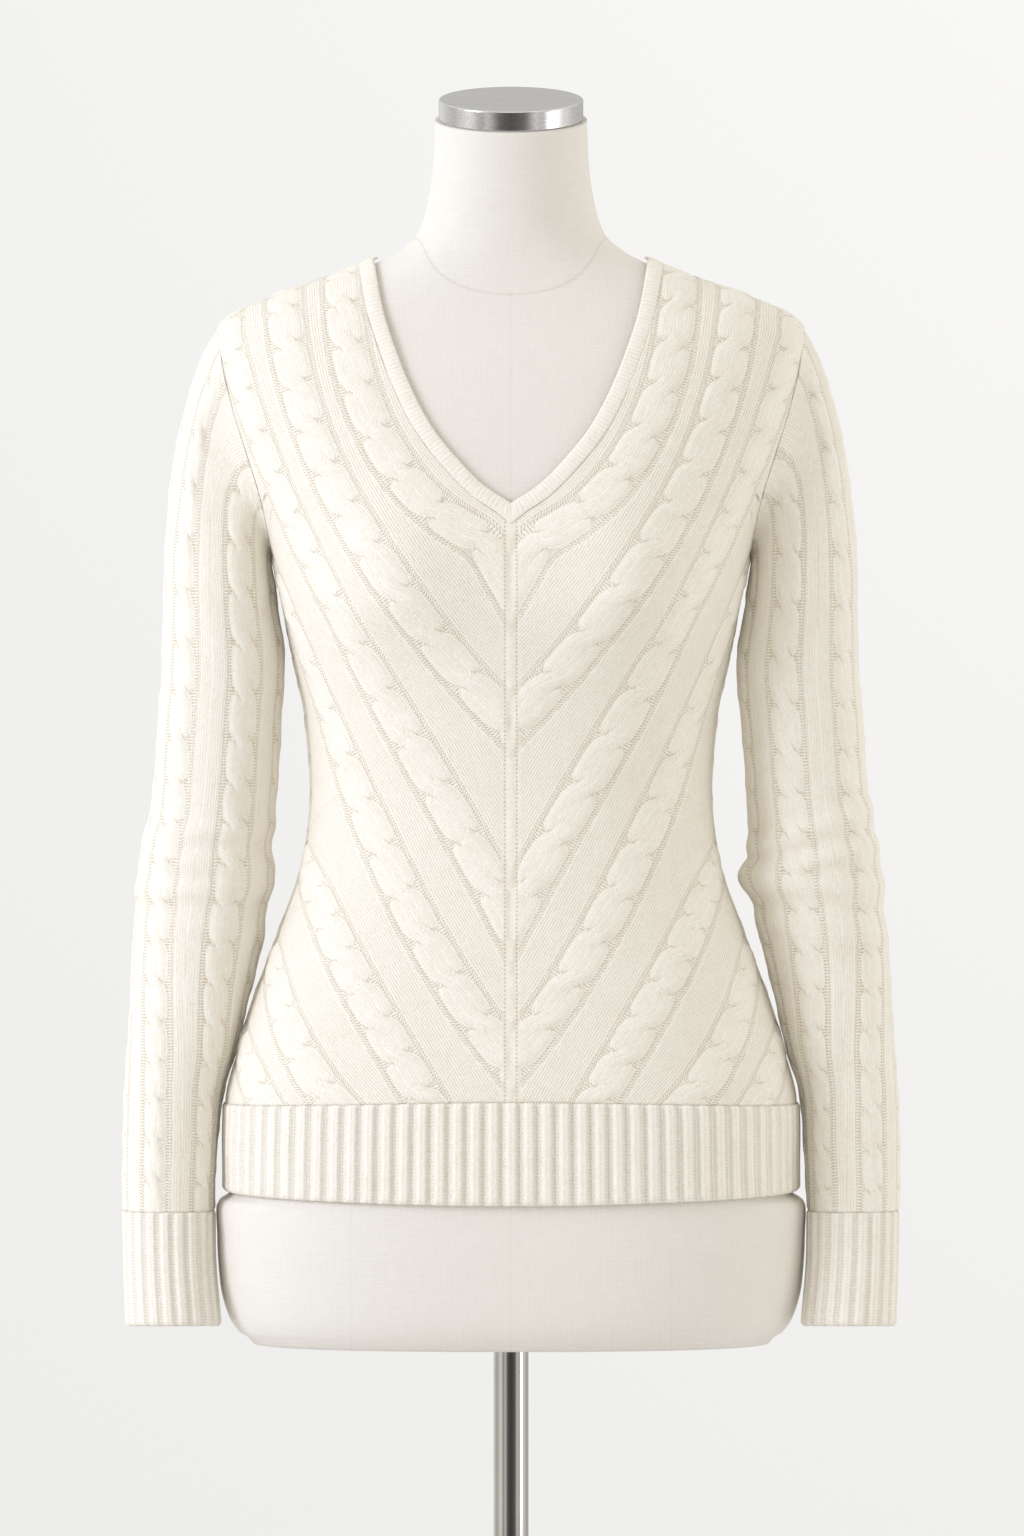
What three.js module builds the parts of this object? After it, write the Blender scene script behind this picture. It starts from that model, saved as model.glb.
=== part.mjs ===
// A fitted V-neck cable knit sweater on a limbless dress form with a steel neck cap, pole and round base.
// Millimetres, +Z up. The origin is the middle of the base's underside, and the front faces -Y.
// Heights in the tables are above the form's underside, and widths are from the centre plane on the +X side.
import * as THREE from "three";

// ---- Driving sizes ----
const FORM_BASE = 700; // the form's underside above the floor
const WALL = 2; // knitted cloth
const EASE = 2; // between the form and the cloth's inside
const SEAM = 0.3; // between pieces that are sewn together
const SLANT_SEAM = 0.5; // the same where the two edges slant or their points don't pair up
// The waist is the share of the rise that is left where the strands cross.
const CABLE = { width: 21, rise: 2.6, waist: 0.72, pitchTop: 27, pitchEnd: 33, slant: 7 };
const HEM = { bottom: 96, top: 151, dip: 4, lift: 5, ribs: 88, rise: 1.4 };
// The crown is how far the band's middle stands out, and its edges reach those shares of it.
const NECKBAND = { width: 10, crown: 0.8, innerEdge: 0.8, outerEdge: 0.9, stations: 20, backStations: 12 };
const ARMHOLE = { bottom: 497, top: 641, front: 31, back: 46, skew: 0.16, stations: 13 };
const BACK_PITCH = 42; // between the back's upright cables
// Cables take a share of the sleeve's round, and grow from nothing over a length from the armhole.
const SLEEVE = { cables: 6, rise: 2.4, share: 0.42, lobe: 29, head: 11, join: 468, cuffTop: 84, grow: 25 };
// Where a sleeve cable's top lies at a crossing, its rise there, and the rise of the band between two cables.
const CROSSING = { at: 0.25, rise: 0.6, band: 0.3 };
const STATION = 100; // length of the hanging part for each station
// How a sleeve leaves the armhole: its gap there, and its direction into the hole (taken over a span), down the
// arm and outwards. Then how strongly it keeps to that direction, the share of the head over which its edge turns
// from the body's normal, and how much it leans in where it reaches the hanging part.
const LEAVE = { gap: 0.8, into: 0.6, span: 5, down: 0.7, out: 0.5, pull: 0.75, least: 12, blend: 0.12 };
const ARRIVE_LEAN = 0.02;
const CUFF = { ribs: 20, rise: 1.2, bottom: 12, tilt: 0.07 };
const CAP = { radius: 45.4, thick: 12.6, edge: 0.8, tilt: 12, sides: 32 };
const POLE = { radius: 11, sides: 20 };
// How the panels' points are spaced: along an edge, inside, and inside above the height where the body curves
// tightly, with the rows' spacing as a share; then how far points keep from an edge and from each other.
const GRID = { edge: 13, inner: 21, tightFrom: 600, tight: 15, row: 0.87, margin: 7, gap: 10, feature: 3.6 };
const SEAM_FADE = { from: 7, over: 12 }; // cables start that far from a side seam and grow over that much
const SPINE_RISE = 0.8; // the raised chain down the front's middle
const FOLD_LEAST = 0.25; // the share of a fold that goes all round the sleeve
const BASE = { radius: 172, thick: 8, edge: 1.5, collarRadius: 17, collarHeight: 26, sides: 44 };

// ---- Tables ----
const named = (columns, rows) =>
  rows.map((row) => Object.fromEntries(columns.split(" ").map((name, i) => [name, row[i]])));

// The cloth's inside all round: half width, reach to the front and back of the origin, where the side line
// lies behind it, and how square the section is (2 is an ellipse).
const TORSO = named("height half front back side square", [
  [0, 161, 98, 104, 0, 2.5],
  [5, 172, 104, 110, 0, 2.5],
  [18, 180.5, 110, 116, 0, 2.5],
  [38, 185.5, 113, 120, 0, 2.5],
  [68, 187, 115, 122, 0, 2.5],
  [96, 181.5, 115, 121, 0, 2.5],
  [150, 178, 114, 117, 0, 2.5],
  [185, 170, 111, 112, 0, 2.45],
  [216, 160, 108, 107, 0, 2.4],
  [260, 144, 102, 98, 0, 2.35],
  [305, 129, 96, 89, 0, 2.3],
  [350, 124, 91, 82, 0, 2.3],
  [396, 126.5, 93, 84, 0, 2.3],
  [430, 133, 98, 88, 1, 2.3],
  [468, 142, 104, 92, 2, 2.35],
  [497, 149, 103, 95, 3, 2.4],
  [530, 158, 98, 97, 4, 2.4],
  [560, 169, 92, 98, 6, 2.35],
  [590, 178.5, 84, 97, 8, 2.3],
  [618, 184, 74, 92, 9, 2.15],
  [634, 184.5, 66, 87, 10, 2.05],
  [644, 178, 61, 82, 10, 2],
  [650, 168, 58.5, 78.5, 10, 2],
  [657, 151.5, 56, 74.5, 9, 2],
  [664, 133, 54, 70, 8, 2],
  [672, 109, 52.5, 65, 7, 2],
  [680, 90, 51.5, 61, 6, 2],
  [690, 71, 51.5, 58, 4, 2],
  [700, 60.5, 52, 54, 1, 2],
  [716, 55, 54, 49, -3, 2],
  [742, 51, 58, 42.5, -9, 2],
  [770, 49.7, 62, 36, -13, 2],
]);
const BUST = { x: 82, height: 478, reach: 17, across: 46, above: 62, below: 40 };

// The finished neckline, from the point of the V to where it meets the shoulder seam.
const NECKLINE = named("height x", [
  [529, 0],
  [540, 17],
  [556, 33],
  [576, 49],
  [598, 61],
  [622, 71],
  [650, 80],
  [683, 86],
]);
const BACK_NECK_DROP = 20;
const MITRE = 1.35; // the V's point is longer than the band is wide
const BACK_NECK_FALL = 0.85; // height lost for each millimetre along the back below the neck
// How the neckline's points crowd towards the V and the shoulder.
const NECK_SPREAD = { front: 1.15, back: 0.9 };

// The front's cables as seen from the front: each curves from its top at the shoulder, armhole or side down
// to its end on the centre line or the hem. Leans are in degrees from upright, positive towards the centre.
const FRONT_CABLES = named("topX topHeight topLean endX endHeight endLean", [
  [104.5, 672, 4, 0, 500, 72],
  [144, 662, 11, 0, 391, 43],
  [178, 645, 12, 0, 283, 32],
  [145, 500, 15, 0, 188, 36],
  [128, 410, 0, 43, 150, 38],
  [139, 300, -20, 103, 150, 35],
  [170, 232, -12, 151, 150, 33],
]);

// The sleeve's sections: middle, half width and half depth. The elbow is a little behind the shoulder and the
// wrist is in front of it.
const ARM = named("height x y half depth", [
  [468, 183.5, 3, 34.5, 44],
  [426, 181.5, 4, 38, 44],
  [396, 183.5, 5, 38, 43.5],
  [366, 185.5, 6, 38, 43],
  [336, 188, 7, 38.5, 42.5],
  [306, 192, 7, 40, 42.5],
  [290, 193, 7, 42, 43],
  [276, 195, 6, 40, 42],
  [246, 199, 3, 39, 40],
  [216, 203.2, -2, 36, 37.5],
  [186, 207.4, -7, 33, 35],
  [156, 212.6, -12, 29.8, 32.5],
  [126, 214.4, -17, 29, 31],
  [96, 215.2, -21, 28.3, 30],
  [60, 214.8, -26, 28, 29],
  [12, 212, -32, 29, 29.5],
]);

// Creases across the sleeves at the elbow: height, how far the cloth stands out, how wide the ridge is, how
// much it drops towards the outside, and the turn where it is strongest (180 is the inside).
const FOLDS = {
  left: named("height out width drop turn", [
    [324, 2, 8, -12, 90],
    [304, 2.4, 7, -8, 130],
    [289, 4.2, 7, 2, 170],
    [262, 1.2, 10, 4, 100],
  ]),
  right: named("height out width drop turn", [
    [322, 1.6, 7, 4, 60],
    [303, 1.8, 8, -3, 90],
    [286, 1.5, 6, 2, 70],
    [262, 1.2, 9, -4, 120],
  ]),
};
// Each sleeve's side and the turn of its first cable from the outside of the arm. The wearer's left is +X.
const ARMS = { left: { side: 1, turn: 35 }, right: { side: -1, turn: 47 } };

// ---- Small tools ----
const clamp = (v, low, high) => Math.min(high, Math.max(low, v));
const radians = (degrees) => (degrees * Math.PI) / 180;
const mix = (a, b, t) => a + (b - a) * t;
const range = (count) => Array.from({ length: count }, (_, i) => i);
const vec = (x, y, z) => new THREE.Vector3(x, y, z);

// A smooth curve through a table's rows that never overshoots them.
function curveOf(rows, at, value) {
  const rising = rows.toSorted((a, b) => a[at] - b[at]);
  const x = rising.map((row) => row[at]);
  const y = rising.map((row) => row[value]);
  const slope = range(x.length - 1).map((i) => (y[i + 1] - y[i]) / (x[i + 1] - x[i]));
  const tangent = y.map((_, i) => {
    if (i === 0) return slope[0];
    if (i === y.length - 1) return slope[i - 1];
    if (slope[i - 1] * slope[i] <= 0) return 0;
    const before = x[i] - x[i - 1];
    const after = x[i + 1] - x[i];
    return (3 * (before + after)) / ((2 * after + before) / slope[i - 1] + (after + 2 * before) / slope[i]);
  });
  return (q) => {
    const i = clamp(x.findLastIndex((v) => v <= q), 0, x.length - 2);
    const span = x[i + 1] - x[i];
    const t = clamp((q - x[i]) / span, 0, 1);
    const a = 2 * t ** 3 - 3 * t ** 2 + 1;
    const b = t ** 3 - 2 * t ** 2 + t;
    const c = t ** 3 - t ** 2;
    return a * y[i] + b * span * tangent[i] + (1 - a) * y[i + 1] + c * span * tangent[i + 1];
  };
}

const curvesOf = (rows, at, values) =>
  Object.fromEntries(values.map((value) => [value, curveOf(rows, at, value)]));

// Points and triangles of one solid, which becomes a mesh.
class Shell {
  points = [];
  faces = [];
  add(point) {
    return this.points.push(point) - 1;
  }
  quad(a, b, c, d) {
    this.faces.push([a, b, c], [a, c, d]);
  }
  // Triangles between two lines of points that start and end side by side. Each item is { id, at }, and at
  // grows.
  bridge(first, second) {
    let i = 0;
    let j = 0;
    while (i < first.length - 1 || j < second.length - 1) {
      const nextFirst = i < first.length - 1 ? first[i + 1].at : Infinity;
      const nextSecond = j < second.length - 1 ? second[j + 1].at : Infinity;
      if (nextFirst <= nextSecond) {
        this.faces.push([first[i].id, first[i + 1].id, second[j].id]);
        i += 1;
      } else {
        this.faces.push([first[i].id, second[j + 1].id, second[j].id]);
        j += 1;
      }
    }
  }
  volume() {
    const cross = vec(0, 0, 0);
    return this.faces.reduce((sum, face) => {
      const [a, b, c] = face.map((id) => this.points[id]);
      return sum + cross.crossVectors(b, c).dot(a) / 6;
    }, 0);
  }
  mesh(name, material) {
    const outwards = this.volume() > 0;
    const geometry = new THREE.BufferGeometry();
    geometry.setAttribute(
      "position",
      new THREE.Float32BufferAttribute(this.points.flatMap((p) => [p.x, p.y, p.z]), 3),
    );
    geometry.setIndex(this.faces.flatMap(([a, b, c]) => (outwards ? [a, b, c] : [a, c, b])));
    geometry.computeVertexNormals();
    const mesh = new THREE.Mesh(geometry, material);
    mesh.name = name;
    return mesh;
  }
}

// A closed tube wall from rings of points, outer and inner. Each ring is a list of { point, at } round the
// tube, and the outer rings may have more points than the inner ones.
function tubeWall(name, material, outerRings, innerRings) {
  const shell = new Shell();
  const place = (rings) =>
    rings.map((ring) => {
      const line = ring.map(({ point, at }) => ({ id: shell.add(point), at }));
      return [...line, { id: line[0].id, at: 1 + line[0].at }];
    });
  const outer = place(outerRings);
  const inner = place(innerRings);
  range(outer.length - 1).forEach((i) => shell.bridge(outer[i], outer[i + 1]));
  range(inner.length - 1).forEach((i) => shell.bridge(inner[i + 1], inner[i]));
  shell.bridge(inner[0], outer[0]);
  shell.bridge(outer.at(-1), inner.at(-1));
  return shell.mesh(name, material);
}

// ---- The body's surface ----
const torso = curvesOf(TORSO, "height", ["half", "front", "back", "side", "square"]);
const RING_STEPS = 160;

// A point of the cloth's inside: turn is -90 at the front's middle, 0 on the side line and 90 at the back's
// middle.
function bodyPoint(turn, height) {
  const power = 2 / torso.square(height);
  const c = Math.cos(turn);
  const s = Math.sin(turn);
  const side = torso.side(height);
  const reach = s < 0 ? torso.front(height) + side : torso.back(height) - side;
  const x = torso.half(height) * Math.max(c, 0) ** power;
  let y = side + reach * Math.sign(s) * Math.abs(s) ** power;
  if (s < 0) {
    const spread = height > BUST.height ? BUST.above : BUST.below;
    const across = (x - BUST.x) / BUST.across;
    y -= BUST.reach * Math.exp(-(across ** 2) - ((height - BUST.height) / spread) ** 2) * Math.abs(s) ** 0.5;
  }
  return vec(x, y, FORM_BASE + height);
}

// The half ring at a height, with the distance along it from the front's middle.
const rings = new Map();
function ringAt(height) {
  if (!rings.has(height)) {
    const turns = range(RING_STEPS + 1).map((i) => radians(-90 + (180 * i) / RING_STEPS));
    const points = turns.map((turn) => bodyPoint(turn, height));
    const along = [0];
    points.slice(1).forEach((point, i) => along.push(along[i] + point.distanceTo(points[i])));
    rings.set(height, { turns, along, side: along[RING_STEPS / 2], total: along[RING_STEPS] });
  }
  return rings.get(height);
}

// The point that far along the ring from the front's middle; a negative distance is on the -X side.
function surface(arc, height) {
  const { turns, along, total } = ringAt(height);
  const distance = clamp(Math.abs(arc), 0, total);
  const i = clamp(along.findLastIndex((v) => v <= distance), 0, RING_STEPS - 1);
  const share = (distance - along[i]) / (along[i + 1] - along[i]);
  const point = bodyPoint(mix(turns[i], turns[i + 1], share), height);
  if (arc < 0) point.x *= -1;
  return point;
}

// The point with the surface's two directions and its outward normal.
function surfaceFrame(arc, height) {
  const step = 1;
  const across = surface(arc + step, height).sub(surface(arc - step, height)).divideScalar(2 * step);
  const up = surface(arc, height + step).sub(surface(arc, height - step)).divideScalar(2 * step);
  return { point: surface(arc, height), across, up, normal: across.clone().cross(up).normalize() };
}

// The surface moved out along its normal.
function offsetPoint(arc, height, out) {
  const { point, normal } = surfaceFrame(arc, height);
  return point.addScaledVector(normal, out);
}

// The place on the surface reached by moving that way from a place, in small steps.
function walk(place, move, steps = 4) {
  let { arc, height } = place;
  for (const _ of range(steps)) {
    const { across, up } = surfaceFrame(arc, height);
    const part = move.clone().divideScalar(steps);
    const aa = across.dot(across);
    const uu = up.dot(up);
    const au = across.dot(up);
    const det = aa * uu - au * au;
    arc += (part.dot(across) * uu - part.dot(up) * au) / det;
    height += (part.dot(up) * aa - part.dot(across) * au) / det;
  }
  return { arc, height };
}

// The place on the front with that width from the centre plane.
function frontPlace(x, height) {
  const c = clamp(x / torso.half(height), 0, 1) ** (torso.square(height) / 2);
  const turn = -Math.acos(c);
  const { turns, along } = ringAt(height);
  const i = clamp(turns.findLastIndex((v) => v <= turn), 0, RING_STEPS - 1);
  return { arc: mix(along[i], along[i + 1], (turn - turns[i]) / (turns[i + 1] - turns[i])), height };
}

// A place's run is the length of the side line from the form's underside up to its height. A panel is laid flat
// by arc and run.
const RUNS = named("height run", [[0, 0]]);
for (const height of range(TORSO.at(-1).height).map((i) => i + 1)) {
  const { run } = RUNS.at(-1);
  RUNS.push({ height, run: run + Math.hypot(1, torso.half(height) - torso.half(height - 1)) });
}
function between(rows, from, to, value) {
  const i = clamp(rows.findLastIndex((row) => row[from] <= value), 0, rows.length - 2);
  const share = (value - rows[i][from]) / (rows[i + 1][from] - rows[i][from]);
  return mix(rows[i][to], rows[i + 1][to], share);
}
const runAt = (height) => between(RUNS, "height", "run", height);
const heightAt = (run) => between(RUNS, "run", "height", run);

// Above the shoulders' widest ring a flat panel is slid sideways, so that the shoulder seam stays upright.
const WIDEST = 620;
const slide = (height) => (height > WIDEST ? ringAt(WIDEST).side - ringAt(height).side : 0);

// ---- Edges of the panels ----
const sideArc = (height) => ringAt(height).side;
const wave = (arc, height) => Math.cos((Math.PI * clamp(Math.abs(arc) / sideArc(height), 0, 1)) / 2) ** 2;
const hemTop = (arc, front) => HEM.top + (front ? HEM.lift : 0) * wave(arc, HEM.top);
const hemBottom = (arc, front) => HEM.bottom - (front ? HEM.dip : 0) * wave(arc, HEM.bottom);

// The armhole's place at a turn: 0 at the shoulder, 90 in front and 180 under the arm. A positive inset is
// into the hole.
function armholePlace(turn, inset) {
  const [low, high] = [runAt(ARMHOLE.bottom), runAt(ARMHOLE.top)];
  const height = heightAt((low + high) / 2 + ((high - low) / 2 - inset) * Math.cos(turn));
  const widest = (Math.sin(turn) > 0 ? ARMHOLE.front : ARMHOLE.back) - inset;
  const aside = widest * Math.sin(turn) * (1 - ARMHOLE.skew * Math.cos(turn));
  return { arc: sideArc(height) - aside, height };
}

// The neckline's places from the V to the back's middle, on the +X side.
const neckX = curveOf(NECKLINE, "height", "x");
const NECK_TOP = NECKLINE.at(-1).height;
const NECK_POINT = NECKLINE[0].height;
function neckPlaces() {
  const front = range(NECKBAND.stations).map((i) => {
    const t = 1 - (1 - i / NECKBAND.stations) ** NECK_SPREAD.front;
    const height = mix(NECK_POINT, NECK_TOP, t);
    return frontPlace(neckX(height), height);
  });
  const back = range(NECKBAND.backStations + 1).map((i) => {
    const t = i / NECKBAND.backStations;
    const height = NECK_TOP - BACK_NECK_DROP * (1 - (1 - t) ** 2) ** NECK_SPREAD.back;
    const { side, total } = ringAt(height);
    return { arc: mix(side, total, t), height };
  });
  return [...front, ...back];
}

// The neckline moved that far away from the neck opening.
function neckLine(width) {
  const places = neckPlaces();
  return places.map((place, i) => {
    const last = places.length - 1;
    if (i === 0) return { arc: 0, height: place.height - width * MITRE };
    if (i === last) {
      const height = place.height - width * BACK_NECK_FALL;
      return { arc: ringAt(height).total, height };
    }
    if (i === NECKBAND.stations) {
      const height = heightAt(runAt(place.height) - width);
      return { arc: sideArc(height), height };
    }
    const before = surface(places[i - 1].arc, places[i - 1].height);
    const after = surface(places[i + 1].arc, places[i + 1].height);
    const along = after.sub(before).normalize();
    const away = along.cross(surfaceFrame(place.arc, place.height).normal).normalize();
    return walk(place, away.multiplyScalar(width));
  });
}

// ---- Cables ----
// A cable's stations, two for each crossing: the place on the body, its 3-D point and directions, and the
// phase, which is a whole number at a crossing.
function cableStations(places) {
  const points = places.map(({ arc, height }) => surface(arc, height));
  const along = [0];
  points.slice(1).forEach((point, i) => along.push(along[i] + point.distanceTo(points[i])));
  const length = along.at(-1);
  const stations = [];
  let distance = 0;
  let phase = 0;
  while (distance <= length) {
    const i = clamp(along.findLastIndex((v) => v <= distance), 0, points.length - 2);
    const t = (distance - along[i]) / (along[i + 1] - along[i]);
    const place = {
      arc: mix(places[i].arc, places[i + 1].arc, t),
      height: mix(places[i].height, places[i + 1].height, t),
    };
    const direction = points[i + 1].clone().sub(points[i]).normalize();
    const { point, normal } = surfaceFrame(place.arc, place.height);
    stations.push({ place, point, direction, sideways: direction.clone().cross(normal).normalize(), phase });
    distance += mix(CABLE.pitchTop, CABLE.pitchEnd, distance / Math.max(length, 1)) / 2;
    phase += 0.5;
  }
  return stations;
}

const CABLE_STEPS = 40;
function frontCable({ topX, topHeight, topLean, endX, endHeight, endLean }) {
  const length = Math.hypot(topX - endX, topHeight - endHeight);
  const pull = (lean) => [-Math.sin(radians(lean)) * length, -Math.cos(radians(lean)) * length];
  const [topPull, endPull] = [pull(topLean), pull(endLean)];
  const places = range(CABLE_STEPS + 1).map((i) => {
    const t = i / CABLE_STEPS;
    const a = 2 * t ** 3 - 3 * t ** 2 + 1;
    const b = t ** 3 - 2 * t ** 2 + t;
    const c = t ** 3 - t ** 2;
    const x = a * topX + b * topPull[0] + (1 - a) * endX + c * endPull[0];
    const height = a * topHeight + b * topPull[1] + (1 - a) * endHeight + c * endPull[1];
    return frontPlace(Math.max(x, 0), height);
  });
  return cableStations(places);
}

// An upright cable on the back, that far from the back's middle, wherever the back is wide enough for it.
function backCable(offset) {
  const places = range(CABLE_STEPS + 1).map((i) => {
    const height = mix(NECK_TOP, HEM.top, i / CABLE_STEPS);
    return { arc: ringAt(height).total - offset, height };
  });
  const room = ({ height }) => ringAt(height).total - sideArc(height) - offset;
  return cableStations(places).filter(({ place }) => room(place) > CABLE.width / 2);
}

// How far a cable stands out at that share of its half width, 0 at the middle and 1 at the edge.
function cableRise(share, phase) {
  if (Math.abs(share) >= 1) return 0;
  const lobe = 0.5 - 0.5 * Math.cos(2 * Math.PI * phase);
  return CABLE.rise * (1 - share ** 4) * mix(CABLE.waist, 1, lobe);
}

// The rise of whichever cable lies under a place on the body.
function riseAt(cables, arc, height) {
  const point = surface(arc, height);
  let rise = 0;
  for (const stations of cables) {
    for (const { point: middle, direction, sideways, phase } of stations) {
      const away = point.clone().sub(middle);
      if (Math.abs(away.dot(direction)) > CABLE.pitchEnd / 4 || away.length() > CABLE.width) continue;
      rise = Math.max(rise, cableRise(away.dot(sideways) / (CABLE.width / 2), phase));
    }
  }
  return rise;
}

// Cables fade out beside the side seams, where the sleeves hang close.
function nearSide(arc, height) {
  return clamp((Math.abs(Math.abs(arc) - ringAt(height).side) - SEAM_FADE.from) / SEAM_FADE.over, 0, 1);
}

// ---- Panels ----
// Delaunay triangles of flat points, by adding them one at a time.
function triangulate(points) {
  const far = 1e5;
  const nudge = 1e-3; // keeps four points off one circle
  const all = points.map(([u, v], i) => [u + nudge * Math.sin(i * 7.3), v + nudge * Math.cos(i * 4.1)]);
  const first = all.length;
  all.push([-far, -far], [far, -far], [0, far]);
  const circle = (a, b, c) => {
    const [ax, ay] = all[a];
    const [bx, by] = [all[b][0] - ax, all[b][1] - ay];
    const [cx, cy] = [all[c][0] - ax, all[c][1] - ay];
    const d = 2 * (bx * cy - by * cx);
    const x = (cy * (bx * bx + by * by) - by * (cx * cx + cy * cy)) / d;
    const y = (bx * (cx * cx + cy * cy) - cx * (bx * bx + by * by)) / d;
    return { ids: d > 0 ? [a, b, c] : [a, c, b], x: ax + x, y: ay + y, reach: x * x + y * y };
  };
  let triangles = [circle(first, first + 1, first + 2)];
  for (const id of range(first)) {
    const [u, v] = all[id];
    const edges = new Map();
    triangles = triangles.filter(({ ids, x, y, reach }) => {
      if ((x - u) ** 2 + (y - v) ** 2 >= reach) return true;
      [0, 1, 2].forEach((k) => {
        const [a, b] = [ids[k], ids[(k + 1) % 3]];
        if (!edges.delete(`${b} ${a}`)) edges.set(`${a} ${b}`, [a, b]);
      });
      return false;
    });
    edges.forEach(([a, b]) => triangles.push(circle(a, b, id)));
  }
  return triangles.map(({ ids }) => ids).filter((ids) => ids.every((id) => id < first));
}

const doubleArea = ([a, b, c]) => (b[0] - a[0]) * (c[1] - a[1]) - (b[1] - a[1]) * (c[0] - a[0]);

function inside([u, v], outline) {
  let odd = false;
  outline.forEach(([au, av], i) => {
    const [bu, bv] = outline[(i + 1) % outline.length];
    if (av > v !== bv > v && u < ((bu - au) * (v - av)) / (bv - av) + au) odd = !odd;
  });
  return odd;
}

function distanceTo([u, v], outline) {
  return Math.min(
    ...outline.map(([au, av], i) => {
      const [bu, bv] = outline[(i + 1) % outline.length];
      const [du, dv] = [bu - au, bv - av];
      const t = clamp(((u - au) * du + (v - av) * dv) / (du * du + dv * dv), 0, 1);
      return Math.hypot(u - au - t * du, v - av - t * dv);
    }),
  );
}

// Keeps the points that are clear of the outline and of each other.
function thin(candidates, outline, margin, spacing) {
  const kept = [];
  for (const item of candidates) {
    const clear = inside(item.flat, outline) && distanceTo(item.flat, outline) > margin;
    const [u, v] = item.flat;
    const free = kept.every(({ flat }) => Math.hypot(flat[0] - u, flat[1] - v) > spacing);
    if (clear && free) kept.push(item);
  }
  return kept;
}

const LEAST_AREA = 0.1; // leaves out slivers between outline points that lie in line

// A panel that is the same on both sides of the centre plane. sections are the parts of one half's outline in
// order, each a list of flat points, and the first lies on the centre plane and has no wall. flatten and
// unflatten turn a place on the body into a flat point and back. shares says where points lie across a cable,
// at a crossing and at a lobe, from -1 to 1.
function panel(name, material, sections, { cables, flatten, unflatten, shares, spine = 0 }) {
  const outline = sections.flatMap((points) => points.slice(0, -1));
  const centreCount = sections[0].length - 1;
  const edge = outline.map((flat, i) => ({ flat, middle: i <= centreCount }));
  const features = cables.flatMap((stations) =>
    stations.flatMap(({ place, sideways, phase, direction }) => {
      const crossing = Number.isInteger(phase);
      return (crossing ? shares.crossing : shares.lobe).map((share) => {
        const slant = crossing && Math.abs(share) < 1 ? -share * CABLE.slant : 0;
        const move = sideways.clone().multiplyScalar((share * CABLE.width) / 2);
        move.addScaledVector(direction, slant);
        const spot = walk(place, move, 2);
        return { flat: flatten(spot), rise: cableRise(share, phase) * nearSide(spot.arc, spot.height) };
      });
    }),
  );
  const outer = [...edge, ...thin(features, outline, GRID.feature, GRID.feature)];
  const [lowU, lowV] = [0, 1].map((k) => Math.min(...outline.map((point) => point[k])));
  const [highU, highV] = [0, 1].map((k) => Math.max(...outline.map((point) => point[k])));
  const gridOf = (step, from, to) =>
    range(Math.ceil((to - from) / (step * GRID.row))).flatMap((row) =>
      range(Math.ceil((highU - lowU) / step) + 1).map((column) => ({
        flat: [lowU + (column + (row % 2) / 2) * step, from + row * step * GRID.row],
      })),
    );
  const turnsAt = runAt(GRID.tightFrom);
  const grid = [...gridOf(GRID.inner, lowV, turnsAt), ...gridOf(GRID.tight, turnsAt, highV)];
  const inner = [...edge, ...thin(grid, outline, GRID.margin, GRID.gap)];
  const shell = new Shell();
  for (const side of [1, -1]) {
    const put = ({ flat, rise, middle }, out) => {
      const { arc, height } = unflatten(flat);
      const edgeRise = middle ? spine : riseAt(cables, arc, height) * nearSide(arc, height);
      const point = offsetPoint(arc, height, out === 0 ? 0 : out + (rise ?? edgeRise));
      point.x = middle ? 0 : point.x * side;
      return shell.add(point);
    };
    const layer = (items, out) => {
      const ids = items.map((item) => put(item, out));
      const flats = items.map(({ flat }) => flat);
      const faces = triangulate(flats).filter((face) => {
        const middle = [0, 1].map((k) => face.reduce((sum, id) => sum + flats[id][k] / 3, 0));
        return doubleArea(face.map((id) => flats[id])) > LEAST_AREA && inside(middle, outline);
      });
      return { ids, faces };
    };
    const face = (a, b, c) => shell.faces.push(side < 0 ? [a, c, b] : [a, b, c]);
    const top = layer(outer, WALL);
    const under = layer(inner, 0);
    top.faces.forEach(([a, b, c]) => face(top.ids[a], top.ids[b], top.ids[c]));
    under.faces.forEach(([a, b, c]) => face(under.ids[a], under.ids[c], under.ids[b]));
    range(outline.length - centreCount).forEach((k) => {
      const i = centreCount + k;
      const j = (i + 1) % outline.length;
      face(top.ids[i], under.ids[i], top.ids[j]);
      face(under.ids[i], under.ids[j], top.ids[j]);
    });
  }
  return shell.mesh(name, material);
}

// Flat points from one run to another along the line that gives each run its distance from the middle.
function edgeLine(fromRun, toRun, acrossAt) {
  const count = Math.max(1, Math.round(Math.abs(toRun - fromRun) / GRID.edge));
  return range(count + 1).map((i) => {
    const run = mix(fromRun, toRun, i / count);
    return [acrossAt(heightAt(run)), run];
  });
}

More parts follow.
